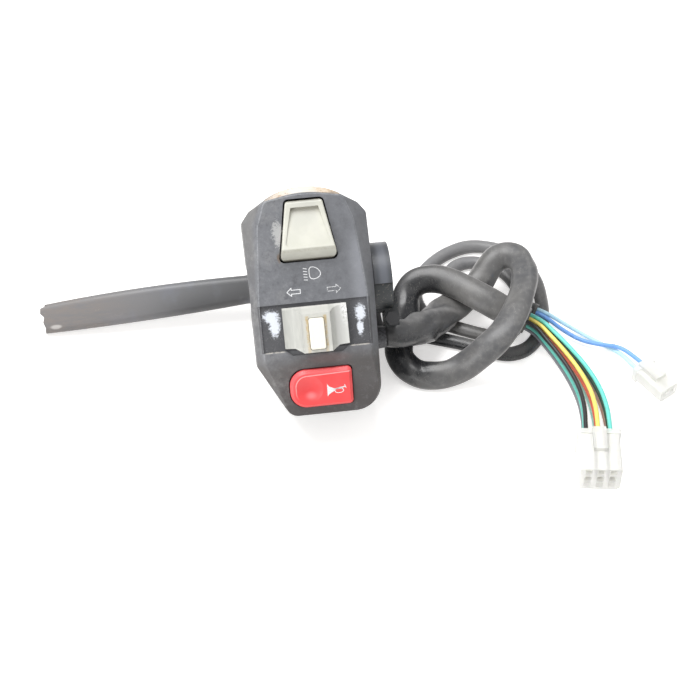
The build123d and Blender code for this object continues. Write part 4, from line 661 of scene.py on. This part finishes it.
def line_points(name, route):
    """Points along a route's spline, read back from its evaluated curve."""
    holder = add_object(name, route_line(name, route))
    bpy.context.view_layer.update()
    mesh = bpy.data.meshes.new_from_object(holder.evaluated_get(bpy.context.evaluated_depsgraph_get()))
    points = [v.co.copy() for v in mesh.vertices]
    bpy.data.objects.remove(holder)
    return points


def reached(points):
    """How far along a line each of its points lies."""
    lengths = [0.0]
    for a, b in zip(points, points[1:]):
        lengths.append(lengths[-1] + (b - a).length)
    return lengths


def between(stations, share):
    """Numbers of the stations on either side of a share of the length, blended."""
    for (a, *first), (b, *second) in zip(stations, stations[1:]):
        if share <= b:
            t = max(0.0, (share - a) / (b - a))
            t = t * t * (3 - 2 * t)
            return [p + (q - p) * t for p, q in zip(first, second)]
    return list(stations[-1][1:])


# Depth of a sleeve's slow swell, its wrinkles and its pleats, as shares of its half width
SWELL = 0.08
RIPPLE = 0.16
PLEAT = 0.17
# Power that flattens a ring's upper and lower sides, and the one that keeps the crease to its edges
FLATNESS = 1.3
CREASE = 40
# The sleeve's end is turned in: how much the ring shrinks, at which share of the mouth's depth
MOUTH_RINGS = ((0.86, 0.0), (0.80, 0.4), (0.78, 1.0))


def sleeve_mesh(name, points, width, height, stations, segments, mouth):
    """Flattened sleeve along a line: a ring is extruded from point to point, then folded into its mouth.

    Each station gives a share of the length, how wide and how thick the sleeve is there, its roll
    in degrees, how deep its wrinkles are and how black and glossy its painted shade is.
    """
    lengths = reached(points)
    builder = bmesh.new()
    fold = builder.verts.layers.float.new("fold")
    clean = builder.verts.layers.float.new("clean")
    ring = bmesh.ops.create_circle(builder, cap_ends=True, segments=segments, radius=1.0)["verts"]
    edges = list(builder.edges)
    angles = [2 * math.pi * k / segments for k in range(segments)]
    side = [Vector((0, 0, 1))]

    def place(verts, index, shrink=1.0, back=0.0):
        """Lay a ring round a point of the line."""
        point = points[index]
        travel = (points[min(index + 1, len(points) - 1)] - points[max(index - 1, 0)]).normalized()
        up = FLAT_SIDE - travel * travel.dot(FLAT_SIDE)
        up = (up.normalized() + side[0] * 0.6).normalized()
        up = (up - travel * travel.dot(up)).normalized()
        side[0] = up
        wide, thick, roll, wrinkle, black = between(stations, lengths[index] / lengths[-1])
        up = Matrix.Rotation(math.radians(roll), 3, travel) @ up
        across = travel.cross(up)
        run = lengths[index] / MM
        for vertex, angle in zip(verts, angles):
            c, s = math.cos(angle), math.sin(angle)
            swell = noise.noise(Vector((c * 0.7, s * 0.7, run * 0.055)))
            ripple = noise.noise(Vector((c * 1.1 + 3, s * 1.1, run * 0.13)))
            # Three pleats round the sleeve, which drift along it
            pleat = 2.0 * abs(math.sin(angle * 1.5 + run * 0.075 + swell * 2.0)) - 1.0
            offset = 1.0 + swell * SWELL + wrinkle * (ripple * RIPPLE + pleat * PLEAT)
            flat = abs(s) ** FLATNESS * (1 if s > 0 else -1)
            spot = (point - travel * back + across * (c * width / 2 * wide * offset * shrink)
                    + up * (flat * height / 2 * thick * offset * shrink))
            spot.z = max(spot.z, (FLOOR_HEIGHT + FLOOR_GAP) * MM)
            vertex.co = spot
            # Pale crease along both edges, painted highlight on the pleats' ridges
            vertex[fold] = max(abs(c) ** CREASE, max(0.0, pleat - 0.75) * wrinkle * 1.6)
            # Painted shade: blacker below and on one side
            vertex[clean] = min(1.0, max(0.0, black * (0.85 - 0.30 * s + 0.35 * c)))

    current = sorted(ring, key=lambda v: math.atan2(v.co.y, v.co.x) % (2 * math.pi))
    place(current, 0)
    last = len(points) - 1
    steps = [(index,) for index in range(1, last + 1)]
    steps += [(last, shrink, mouth * share) for shrink, share in MOUTH_RINGS]
    for step in steps:
        made = bmesh.ops.extrude_edge_only(builder, edges=edges)["geom"]
        edges = [g for g in made if isinstance(g, bmesh.types.BMEdge)]
        fresh = {v for e in edges for v in e.verts}
        current = [next(e.other_vert(old) for e in old.link_edges if e.other_vert(old) in fresh)
                   for old in current]
        place(current, *step)
    bmesh.ops.contextual_create(builder, geom=edges)
    bmesh.ops.recalc_face_normals(builder, faces=builder.faces)
    for face in builder.faces:
        face.smooth = len(face.verts) == 4
    mesh = bpy.data.meshes.new(name)
    builder.to_mesh(mesh)
    builder.free()
    return mesh


def sleeve(name, node, route, width, height, stations, material, segments, mouth):
    """A free sleeve on its route, in the place of a cord of the loaded model."""
    points = line_points(node + "_line", route)
    mesh = sleeve_mesh(name, points, width, height, stations, segments, mouth)
    piece = show(name, mesh, "housing", material)
    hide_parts(node)


def outline_print(builder, outline, stroke, ink, closed=True):
    """Print a line drawing, flat in XY: an outline's face is inset and its middle taken away."""
    verts = [builder.verts.new((x * MM, y * MM, 0.0)) for x, y in outline]
    face = builder.faces.new(verts)
    face.normal_update()
    if closed:
        inside = bmesh.ops.inset_region(builder, faces=[face], thickness=stroke, use_even_offset=True,
                                        use_boundary=True)
        bmesh.ops.delete(builder, geom=[face], context="FACES_ONLY")
        faces = inside["faces"]
    else:
        faces = [face]
    raised = bmesh.ops.extrude_face_region(builder, geom=faces)["geom"]
    tops = [g for g in raised if isinstance(g, bmesh.types.BMVert)]
    bmesh.ops.translate(builder, verts=tops, vec=(0, 0, ink))


def stroke_outline(start, end, stroke):
    """Corners of a straight stroke between two points, in millimetres."""
    a, b = Vector(start), Vector(end)
    across = Vector((a.y - b.y, b.x - a.x)).normalized() * (stroke / MM / 2)
    return [tuple(a - across), tuple(b - across), tuple(b + across), tuple(a + across)]


def symbol(name, outlines, strokes, plane, body, material, sizes, filled=()):
    """A printed symbol of closed outlines, straight strokes and filled shapes.

    The plane is given by its origin, its upward direction and its normal.
    """
    origin, up, normal = plane
    builder = bmesh.new()
    for outline in filled:
        outline_print(builder, outline, sizes.stroke, sizes.ink, closed=False)
    for outline in outlines:
        outline_print(builder, outline, sizes.stroke, sizes.ink)
    for start, end in strokes:
        corners = stroke_outline(start, end, sizes.stroke)
        outline_print(builder, corners, sizes.stroke, sizes.ink, closed=False)
    bmesh.ops.recalc_face_normals(builder, faces=builder.faces)
    turn = Matrix((Vector((1, 0, 0)), up, normal)).transposed().to_4x4()
    bmesh.ops.transform(builder, matrix=Matrix.Translation(origin) @ turn, verts=builder.verts)
    mesh = bpy.data.meshes.new(name)
    builder.to_mesh(mesh)
    builder.free()
    show(name, mesh, body, material)


# ---------------------------------------------------------------- loom

# Way that the sleeves' flat sides face, and the sleeves' centre lines in millimetres on the table
FLAT_SIDE = Vector((-0.05, -0.45, 0.89))
SLEEVE_ROUTE = [
    (33.55, -12.7, -26.2), (41.0, -12.7, -26.2), (47.6, -9.1, -29.4), (57.8, -0.5, -34.5),
    (69.9, 11.9, -38.3), (82.9, 22.0, -37.9), (91.8, 31.6, -30.0), (97.4, 32.8, -29.2),
    (101.7, 30.2, -28.0), (103.8, 25.4, -26.8), (103.9, 14.6, -24.8), (98.7, 0.3, -24.0),
    (88.2, -18.0, -24.6), (77.5, -23.2, -31.0), (66.8, -24.6, -40.8),
    (54.4, -26.0, -43.3), (43.7, -20.4, -43.3), (39.1, -12.9, -39.6), (42.6, -2.3, -37.4),
    (46.5, 11.1, -37.6), (47.8, 20.1, -35.0), (53.5, 24.0, -31.0), (62.7, 22.4, -29.2),
    (71.7, 16.6, -29.0), (82.4, 7.0, -29.0), (91.6, 1.5, -33.3), (101.8, -3.3, -36.5),
]
# Height of the lead's middle where it lies on the table
LEAD_LYING = -45.4
LEAD_ROUTE = [
    (31.0, 10.4, -24.3), (31.0, 4.6, -29.5), (32.6, -0.4, -36.6), (37.4, -1.4, -43.2),
    *((x, y, LEAD_LYING) for x, y in (
        (45.3, 4.4), (54.2, 1.1), (64.9, -2.8), (75.2, -7.6), (84.4, -13.1), (93.4, -15.5), (103.1, -11.9),
        (110.7, -0.5), (113.6, 16.3), (113.0, 32.7), (106.7, 46.1), (96.2, 53.6), (84.2, 55.9), (72.6, 52.0),
        (62.5, 44.6), (55.1, 34.4), (53.2, 22.3), (58.3, 12.1), (67.2, 6.0), (77.8, 0.1), (88.4, -4.4),
        (98.2, -0.7), (103.3, 10.6), (103.7, 25.4), (98.7, 37.9), (88.6, 44.5), (77.3, 44.7), (70.6, 36.9),
        (69.0, 27.3), (74.2, 20.8), (84.6, 19.6))),
    (92.7, 15.1, -41.4), (100.9, 10.5, -40.0), (108.5, 5.3, -40.2),
]
# Share of the length, width, thickness, roll, wrinkles, blackness of the painted shade
SLEEVE_STATIONS = (
    (0.0, 0.78, 1.20, 0, 0.0, 0.6), (0.025, 1.0, 1.35, 5, 0.8, 0.7), (0.07, 1.12, 1.30, 0, 1.0, 0.6),
    (0.12, 1.10, 1.15, 8, 1.0, 0.45), (0.18, 1.02, 0.95, 0, 0.4, 0.1), (0.27, 1.0, 0.95, 0, 0.20, 0.2),
    (0.325, 0.95, 0.95, 20, 0.30, 0.1), (0.37, 1.05, 0.85, 30, 0.15, 0.0),
    (0.44, 1.08, 0.80, 22, 0.08, 0.0), (0.53, 1.04, 0.86, 0, 0.08, 0.0), (0.58, 1.0, 0.95, -8, 0.20, 0.4),
    (0.64, 0.98, 0.95, 0, 0.40, 1.5), (0.71, 1.0, 0.90, 0, 0.50, 1.5), (0.77, 1.0, 0.88, 0, 0.35, 1.3),
    (0.83, 1.06, 0.82, 10, 0.15, 1.0), (0.87, 1.06, 0.84, 8, 0.10, 0.5), (0.92, 1.06, 0.84, 5, 0.10, 0.0),
    (1.0, 1.04, 0.98, 0, 0.06, 0.0),
)
LEAD_STATIONS = (
    (0.0, 0.80, 1.10, 0, 0.0, 0.8), (0.12, 1.0, 0.95, 0, 0.15, 1.0), (0.24, 1.05, 0.90, 8, 0.08, 0.7),
    (0.30, 1.05, 0.90, 8, 0.08, 0.1), (0.5, 1.0, 0.95, -6, 0.16, 0.2), (0.75, 1.04, 0.90, 5, 0.08, 0.4),
    (1.0, 1.0, 1.05, 0, 0.05, 0.2),
)
# Middle of the bunch of nine wires, and how far apart they lie across and upwards
BUNCH_STATIONS = [
    ((101.8, -3.3, -36.5), 2.3, 2.3), ((106.1, -5.3, -37.8), 2.5, 2.4), ((110.2, -12.8, -38.6), 2.8, 2.6),
    ((114.9, -22.0, -39.6), 3.3, 3.0), ((119.6, -34.0, -40.3), 4.0, 3.5), ((122.4, -47.0, -40.5), 4.6, 4.0),
    ((122.4, -58.6, -40.5), 5.1, 4.4),
]
# Middle of each connector's rear face, its turn on the table and how far apart its ways are
NINE_REAR = Vector((120.3, -72.0, -40.5))
NINE_TURN = math.radians(-9.0)
NINE_PITCH = 5.4
NINE_ROW = 4.6
TWO_REAR = Vector((150.5, -32.0, -44.0))
TWO_TURN = math.radians(30.0)
TWO_PITCH = 4.4
# How far behind a connector a wire comes in line with it, and how deep in it the wire ends; then how
# far inside each sleeve its wires begin, and half the gap between the two wires
WIRE_ENTRY = 4.5
WIRE_END = 0.95
NINE_INSIDE = 4.0
TWO_INSIDE = 3.0
TWO_GAP = 0.1
NINE_WIRES = {
    "teal": (0.16, 0.68, 0.60), "yellow": (0.96, 0.78, 0.18), "black": (0.022, 0.022, 0.024),
    "dark_green": (0.022, 0.075, 0.050), "red": (0.72, 0.13, 0.075), "green": (0.12, 0.50, 0.42),
    "brown": (0.52, 0.32, 0.26), "pale_green": (0.42, 0.72, 0.63), "grey": (0.19, 0.19, 0.21),
}
TWO_WIRES = (
    ("light_blue", 1, (0.56, 0.84, 0.96),
     [(120.1, -0.8, -43.6), (129.5, -7.4, -46.4), (138.0, -14.6, -46.9), (144.2, -20.6, -46.6)]),
    ("blue", -1, (0.19, 0.41, 0.88),
     [(118.4, -4.4, -43.6), (126.1, -10.9, -45.2), (134.3, -15.4, -44.4), (143.8, -17.8, -44.4)]),
)


def in_connector(rear, turn, across, up, depth):
    """Point behind or inside a connector, from its rear face's middle."""
    side = Vector((math.cos(turn), math.sin(turn), 0))
    inward = Vector((math.sin(turn), -math.cos(turn), 0))
    return rear + side * across + Vector((0, 0, up)) + inward * depth


def bunch_route(column, row):
    """Route of one of the nine wires, from its place across and up in the bunch."""
    middles = [Vector(place) for place, _, _ in BUNCH_STATIONS]
    mouth = (Vector(SLEEVE_ROUTE[-1]) - Vector(SLEEVE_ROUTE[-2])).normalized()
    runs = [mouth] + [(b - a).normalized() for a, b in zip(middles, middles[1:])]
    route = []
    for middle, station, before, after in zip(middles, BUNCH_STATIONS, runs, runs[1:] + runs[-1:]):
        travel = before if not route else (before + after).normalized()
        across = Vector((-travel.y, travel.x, 0)).normalized()
        upward = travel.cross(across)
        route.append(middle + across * (column * station[1]) + upward * (row * station[2]))
    route[0] = route[0] - mouth * NINE_INSIDE
    for depth in (-WIRE_ENTRY, WIRE_END):
        route.append(in_connector(NINE_REAR, NINE_TURN, column * NINE_PITCH, row * NINE_ROW, depth))
    return route


def wire(colour, shade, route, diameter):
    """A free wire on its route, in the place of a wire of the loaded model."""
    node = "wire_" + colour
    curve = route_line(node + "_line", route)
    curve.bevel_depth = diameter / 2
    curve.bevel_resolution = 5
    curve.use_fill_caps = True
    curve.materials.append(insulation(colour, shade))
    piece = add_object(node + "_line", curve)
    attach(piece, "housing")
    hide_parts(node)
    length = reached(line_points(node + "_measure", route))[-1]


# ---------------------------------------------------------------- operators

class CLUSTER_OT_camera(bpy.types.Operator):
    """Place the camera where the picture was taken from"""

    bl_idname = "cluster.camera"
    bl_label = "Camera"

    def execute(self, context):
        data = bpy.data.cameras.new("camera")
        data.sensor_width = 36.0
        data.lens = context.scene.cluster_stage.lens
        data.clip_end = 10.0
        camera = add_object("camera", data)
        turn = Matrix(CAMERA_AXES).transposed().to_4x4()
        camera.matrix_world = Matrix.Translation(CAMERA_PLACE * MM) @ turn
        context.scene.camera = camera
        return {"FINISHED"}


class CLUSTER_OT_sleeves(bpy.types.Operator):
    """Make the knotted main sleeve and the brake light lead's sleeve"""

    bl_idname = "cluster.sleeves"
    bl_label = "Loom sleeves"

    def execute(self, context):
        sizes = context.scene.cluster_sizes
        vinyl = vinyl_sleeve(context.scene.cluster_colours)
        sleeve("loom_sleeve_wrinkled", "loom_sleeve", SLEEVE_ROUTE, sizes.sleeve_width, sizes.sleeve_height,
               SLEEVE_STATIONS, vinyl, segments=32, mouth=0.010)
        sleeve("brake_light_lead_sleeve", "brake_light_lead", LEAD_ROUTE, sizes.lead_width,
               sizes.lead_height, LEAD_STATIONS, vinyl, segments=20, mouth=0.006)
        return {"FINISHED"}


class CLUSTER_OT_wires(bpy.types.Operator):
    """Make the coloured wires between the sleeves and the connectors"""

    bl_idname = "cluster.wires"
    bl_label = "Wires"

    def execute(self, context):
        diameter = context.scene.cluster_sizes.wire_diameter
        for place, (colour, shade) in enumerate(NINE_WIRES.items()):
            wire(colour, shade, bunch_route(1 - place % 3, 1 - place // 3), diameter)
        end = Vector(LEAD_ROUTE[-1])
        run = (end - Vector(LEAD_ROUTE[-2])).normalized()
        across = Vector((-run.y, run.x, 0)).normalized() * (diameter / MM / 2 + TWO_GAP)
        for colour, side, shade, middle in TWO_WIRES:
            route = [end + across * side + run * step for step in (-TWO_INSIDE, WIRE_ENTRY)]
            route += [Vector(point) for point in middle]
            for depth in (-WIRE_ENTRY, WIRE_END):
                route.append(in_connector(TWO_REAR, TWO_TURN, -side * TWO_PITCH / 2, 0.0, depth))
            wire(colour, shade, route, diameter)
        return {"FINISHED"}


class CLUSTER_OT_connectors(bpy.types.Operator):
    """Finish the two connectors, their terminals and the brass contacts"""

    bl_idname = "cluster.connectors"
    bl_label = "Connectors"

    def execute(self, context):
        paint(plain("milky_nylon"), "connector_nine_way", "connector_two_way")
        paint(plain("tinned_contact"), "terminals_nine_way", "terminals_two_way")
        paint(plain("contact_brass"), "dip_contacts", "indicator_wiper", "indicator_contacts",
              "horn_contacts", "lever_bush")
        return {"FINISHED"}


class CLUSTER_OT_housing(bpy.types.Operator):
    """Finish the shells, the label and the grommet"""

    bl_idname = "cluster.housing"
    bl_label = "Housing"

    def execute(self, context):
        colours = context.scene.cluster_colours
        paint(front_plastic(colours), "front_shell")
        paint(rear_plastic(colours), "rear_shell")
        paint(label_film(), "top_label")
        paint(plain("rubber_black"), "cable_grommet")
        return {"FINISHED"}


class CLUSTER_OT_switches(bpy.types.Operator):
    """Finish the rocker, the knob and the buttons, with their inner pieces"""

    bl_idname = "cluster.switches"
    bl_label = "Switches"

    def execute(self, context):
        colours = context.scene.cluster_colours
        paint(ivory_plastic(colours), "dip_rocker")
        paint(grey_plastic(colours), "indicator_knob")
        paint(cream_plastic(colours), "cancel_button", "switch_plunger")
        paint(red_plastic(colours), "horn_button")
        paint(plain("inner_plastic"), "dip_switch_base", "detent_pin", "indicator_slider", "indicator_base",
              "horn_base", "brake_light_switch")
        return {"FINISHED"}


class CLUSTER_OT_symbols(bpy.types.Operator):
    """Print the lamp, arrow and horn symbols"""

    bl_idname = "cluster.symbols"
    bl_label = "Symbols"

    def execute(self, context):
        sizes, colours = context.scene.cluster_sizes, context.scene.cluster_colours
        upright, outward = leaned(0, 0, 1).normalized(), leaned(0, 1, 0).normalized()
        face = (leaned(0, FACE_DEPTH + PRINT_GAP, 0), upright, outward)
        fresh = printed_white("printed_white", colours, 0.15)
        faded = printed_white("printed_white_faded", colours, 0.75)
        lamp = [(-0.6, 6.6), (0.2, 7.5), (1.6, 7.5), (3.2, 6.7), (4.3, 5.4), (4.6, 4.3), (4.1, 3.1),
                (2.9, 2.3), (1.3, 2.0), (0.1, 2.2), (-0.5, 3.1), (-0.7, 4.8)]
        rays = [((-1.4, 6.7 - 1.2 * k), (-3.1, 7.1 - 1.25 * k)) for k in range(5)]
        symbol("lamp_symbol", [lamp], rays, face, "housing", fresh, sizes)
        arrow = [(-3.2, 0.0), (-0.9, 2.1), (-0.9, 1.0), (3.0, 1.0), (3.0, -1.0), (-0.9, -1.0), (-0.9, -2.1)]
        symbol("left_arrow_symbol", [[(x - 8.0, y - 2.7) for x, y in arrow]], [], face, "housing", fresh,
               sizes)
        symbol("right_arrow_symbol", [[(9.5 - x, y - 2.9) for x, y in arrow]], [], face, "housing", faded,
               sizes)
        up = leaned(0, math.sin(FACET_ANGLE), math.cos(FACET_ANGLE)).normalized()
        out = leaned(0, math.cos(FACET_ANGLE), -math.sin(FACET_ANGLE)).normalized()
        crease = leaned(0, -FACET_CREASE.y, FACET_CREASE.z)
        button = (crease + out * (HORN_HEIGHT + PRINT_GAP) * MM, up, out)
        bell = [(2.5, -10.6), (2.5, -16.4), (3.4, -15.3), (5.6, -14.1), (5.6, -13.0), (3.4, -11.9)]
        loop = [(5.5, -13.9), (6.0, -13.2), (7.0, -12.9), (8.5, -12.9), (9.4, -13.4), (9.8, -14.1),
                (9.4, -14.9), (8.5, -15.3), (7.0, -15.3), (6.0, -14.9)]
        strokes = [((5.2, -13.5), (10.4, -12.6)), ((5.2, -13.3), (10.4, -12.4)),
                   ((10.2, -11.6), (10.8, -13.3)), ((5.9, -13.2), (9.4, -13.2))]
        symbol("horn_symbol", [loop], strokes, button, "horn_button",
               printed_white("printed_white_horn", colours, 0.0), sizes, filled=[bell])
        return {"FINISHED"}


class CLUSTER_OT_lever(bpy.types.Operator):
    """Finish the brake lever and its bracket"""

    bl_idname = "cluster.lever"
    bl_label = "Lever"

    def execute(self, context):
        paint(lever_finish(context.scene.cluster_colours), "brake_lever")
        paint(stub_metal(), "lever_bracket")
        return {"FINISHED"}


class CLUSTER_OT_hardware(bpy.types.Operator):
    """Finish the screws, pins, springs and bolts"""

    bl_idname = "cluster.hardware"
    bl_label = "Hardware"

    def execute(self, context):
        paint(plain("plated_steel"), "housing_screws", "rocker_pin", "detent_spring", "cancel_spring",
              "horn_spring", "bracket_screws", "pivot_bolt", "pivot_nut", "brake_switch_screw")
        paint(dark_bolt(), "pinch_bolt")
        return {"FINISHED"}


class CLUSTER_OT_stage(bpy.types.Operator):
    """Lay the white table and hang the soft lamps"""

    bl_idname = "cluster.stage"
    bl_label = "Stage"

    def table(self, size):
        """White table that looks lit through, so that it stays white behind the object."""
        builder = bmesh.new()
        bmesh.ops.create_grid(builder, x_segments=1, y_segments=1, size=size / 2)
        bmesh.ops.translate(builder, verts=builder.verts, vec=(0, 0, FLOOR_HEIGHT * MM))
        mesh = bpy.data.meshes.new("table_top")
        builder.to_mesh(mesh)
        builder.free()
        look = Look("white_table", upright=False)
        rays = look.node("ShaderNodeLightPath").outputs
        seen = Value(look, rays["Is Camera Ray"]).most(Value(look, rays["Is Glossy Ray"])).most(
            Value(look, rays["Is Transmission Ray"]))
        cloth = look.node("ShaderNodeBsdfDiffuse", None, {"Color": (0.82, 0.81, 0.80)})
        glow = look.node("ShaderNodeEmission", None, {
            "Color": (1.0, 0.99, 0.98), "Strength": seen * FLOOR_GLOW})
        both = look.node("ShaderNodeAddShader", None, {0: cloth.outputs[0], 1: glow.outputs[0]})
        look.node("ShaderNodeOutputMaterial", None, {"Surface": both.outputs[0]})
        mesh.materials.append(look.material)
        add_object("table_top", mesh)

    def lamp(self, name, place, aim, size, power):
        """Round lamp turned towards a point."""
        data = bpy.data.lights.new(name, "AREA")
        data.shape = "DISK"
        data.size = size
        data.energy = power
        lamp = add_object(name, data)
        lamp.location = place
        lamp.rotation_mode = "QUATERNION"
        lamp.rotation_quaternion = (Vector(aim) - Vector(place)).to_track_quat("-Z", "Y")

    def room(self, strength):
        """World that is white to the camera and dimmer as a light."""
        world = bpy.data.worlds.new("white_room")
        bpy.context.scene.world = world
        world.use_nodes = True
        tree = world.node_tree
        tree.nodes.clear()
        rays = add_node(tree, "ShaderNodeLightPath").outputs
        seen = add_node(tree, "ShaderNodeMath", {"operation": "MAXIMUM"}, {
            0: rays["Is Camera Ray"], 1: rays["Is Transmission Ray"]})
        power = add_node(tree, "ShaderNodeMapRange", None, {
            "Value": seen.outputs[0], "To Min": strength, "To Max": 1.0})
        light = add_node(tree, "ShaderNodeBackground", None, {
            "Color": (1.0, 1.0, 1.0), "Strength": power.outputs["Result"]})
        add_node(tree, "ShaderNodeOutputWorld", None, {"Surface": light.outputs[0]})

    def execute(self, context):
        stage = context.scene.cluster_stage
        context.scene.view_settings.view_transform = "Standard"
        self.table(stage.floor_size)
        self.lamp("key_lamp", (-0.25, 0.30, 1.1), (0.03, 0.0, -0.03), 0.9, stage.key_power)
        self.lamp("fill_lamp", (-0.9, -0.7, 0.6), (0.0, 0.0, -0.02), 0.8, stage.fill_power)
        self.room(stage.world_strength)
        return {"FINISHED"}


class CLUSTER_PT_panel(bpy.types.Panel):
    """Shows the cluster's settings and operator buttons in the sidebar"""

    bl_idname = "CLUSTER_PT_panel"
    bl_label = "Switch Cluster"
    bl_space_type = "VIEW_3D"
    bl_region_type = "UI"
    bl_category = "Switch Cluster"

    def draw(self, context):
        scene = context.scene
        for settings in (scene.cluster_colours, scene.cluster_sizes, scene.cluster_stage):
            column = self.layout.column()
            for key in settings.bl_rna.properties.keys():
                if key not in ("rna_type", "name"):
                    column.prop(settings, key)
        for operator in OPERATORS:
            self.layout.operator(operator.bl_idname)


OPERATORS = (
    CLUSTER_OT_camera, CLUSTER_OT_sleeves, CLUSTER_OT_wires, CLUSTER_OT_connectors, CLUSTER_OT_housing,
    CLUSTER_OT_switches, CLUSTER_OT_symbols, CLUSTER_OT_lever, CLUSTER_OT_hardware, CLUSTER_OT_stage,
)
CLASSES = (ClusterColours, ClusterSizes, StageSettings, *OPERATORS, CLUSTER_PT_panel)


def register():
    """Register the classes and their settings on the scene."""
    for cls in CLASSES:
        bpy.utils.register_class(cls)
    bpy.types.Scene.cluster_colours = bpy.props.PointerProperty(type=ClusterColours)
    bpy.types.Scene.cluster_sizes = bpy.props.PointerProperty(type=ClusterSizes)
    bpy.types.Scene.cluster_stage = bpy.props.PointerProperty(type=StageSettings)


def unregister():
    """Remove the settings and the classes."""
    del bpy.types.Scene.cluster_stage
    del bpy.types.Scene.cluster_sizes
    del bpy.types.Scene.cluster_colours
    for cls in reversed(CLASSES):
        bpy.utils.unregister_class(cls)


def main():
    register()
    bpy.ops.cluster.camera()
    bpy.ops.cluster.sleeves()
    bpy.ops.cluster.wires()
    bpy.ops.cluster.connectors()
    bpy.ops.cluster.housing()
    bpy.ops.cluster.switches()
    bpy.ops.cluster.symbols()
    bpy.ops.cluster.lever()
    bpy.ops.cluster.hardware()
    bpy.ops.cluster.stage()


if __name__ == "__main__":
    main()
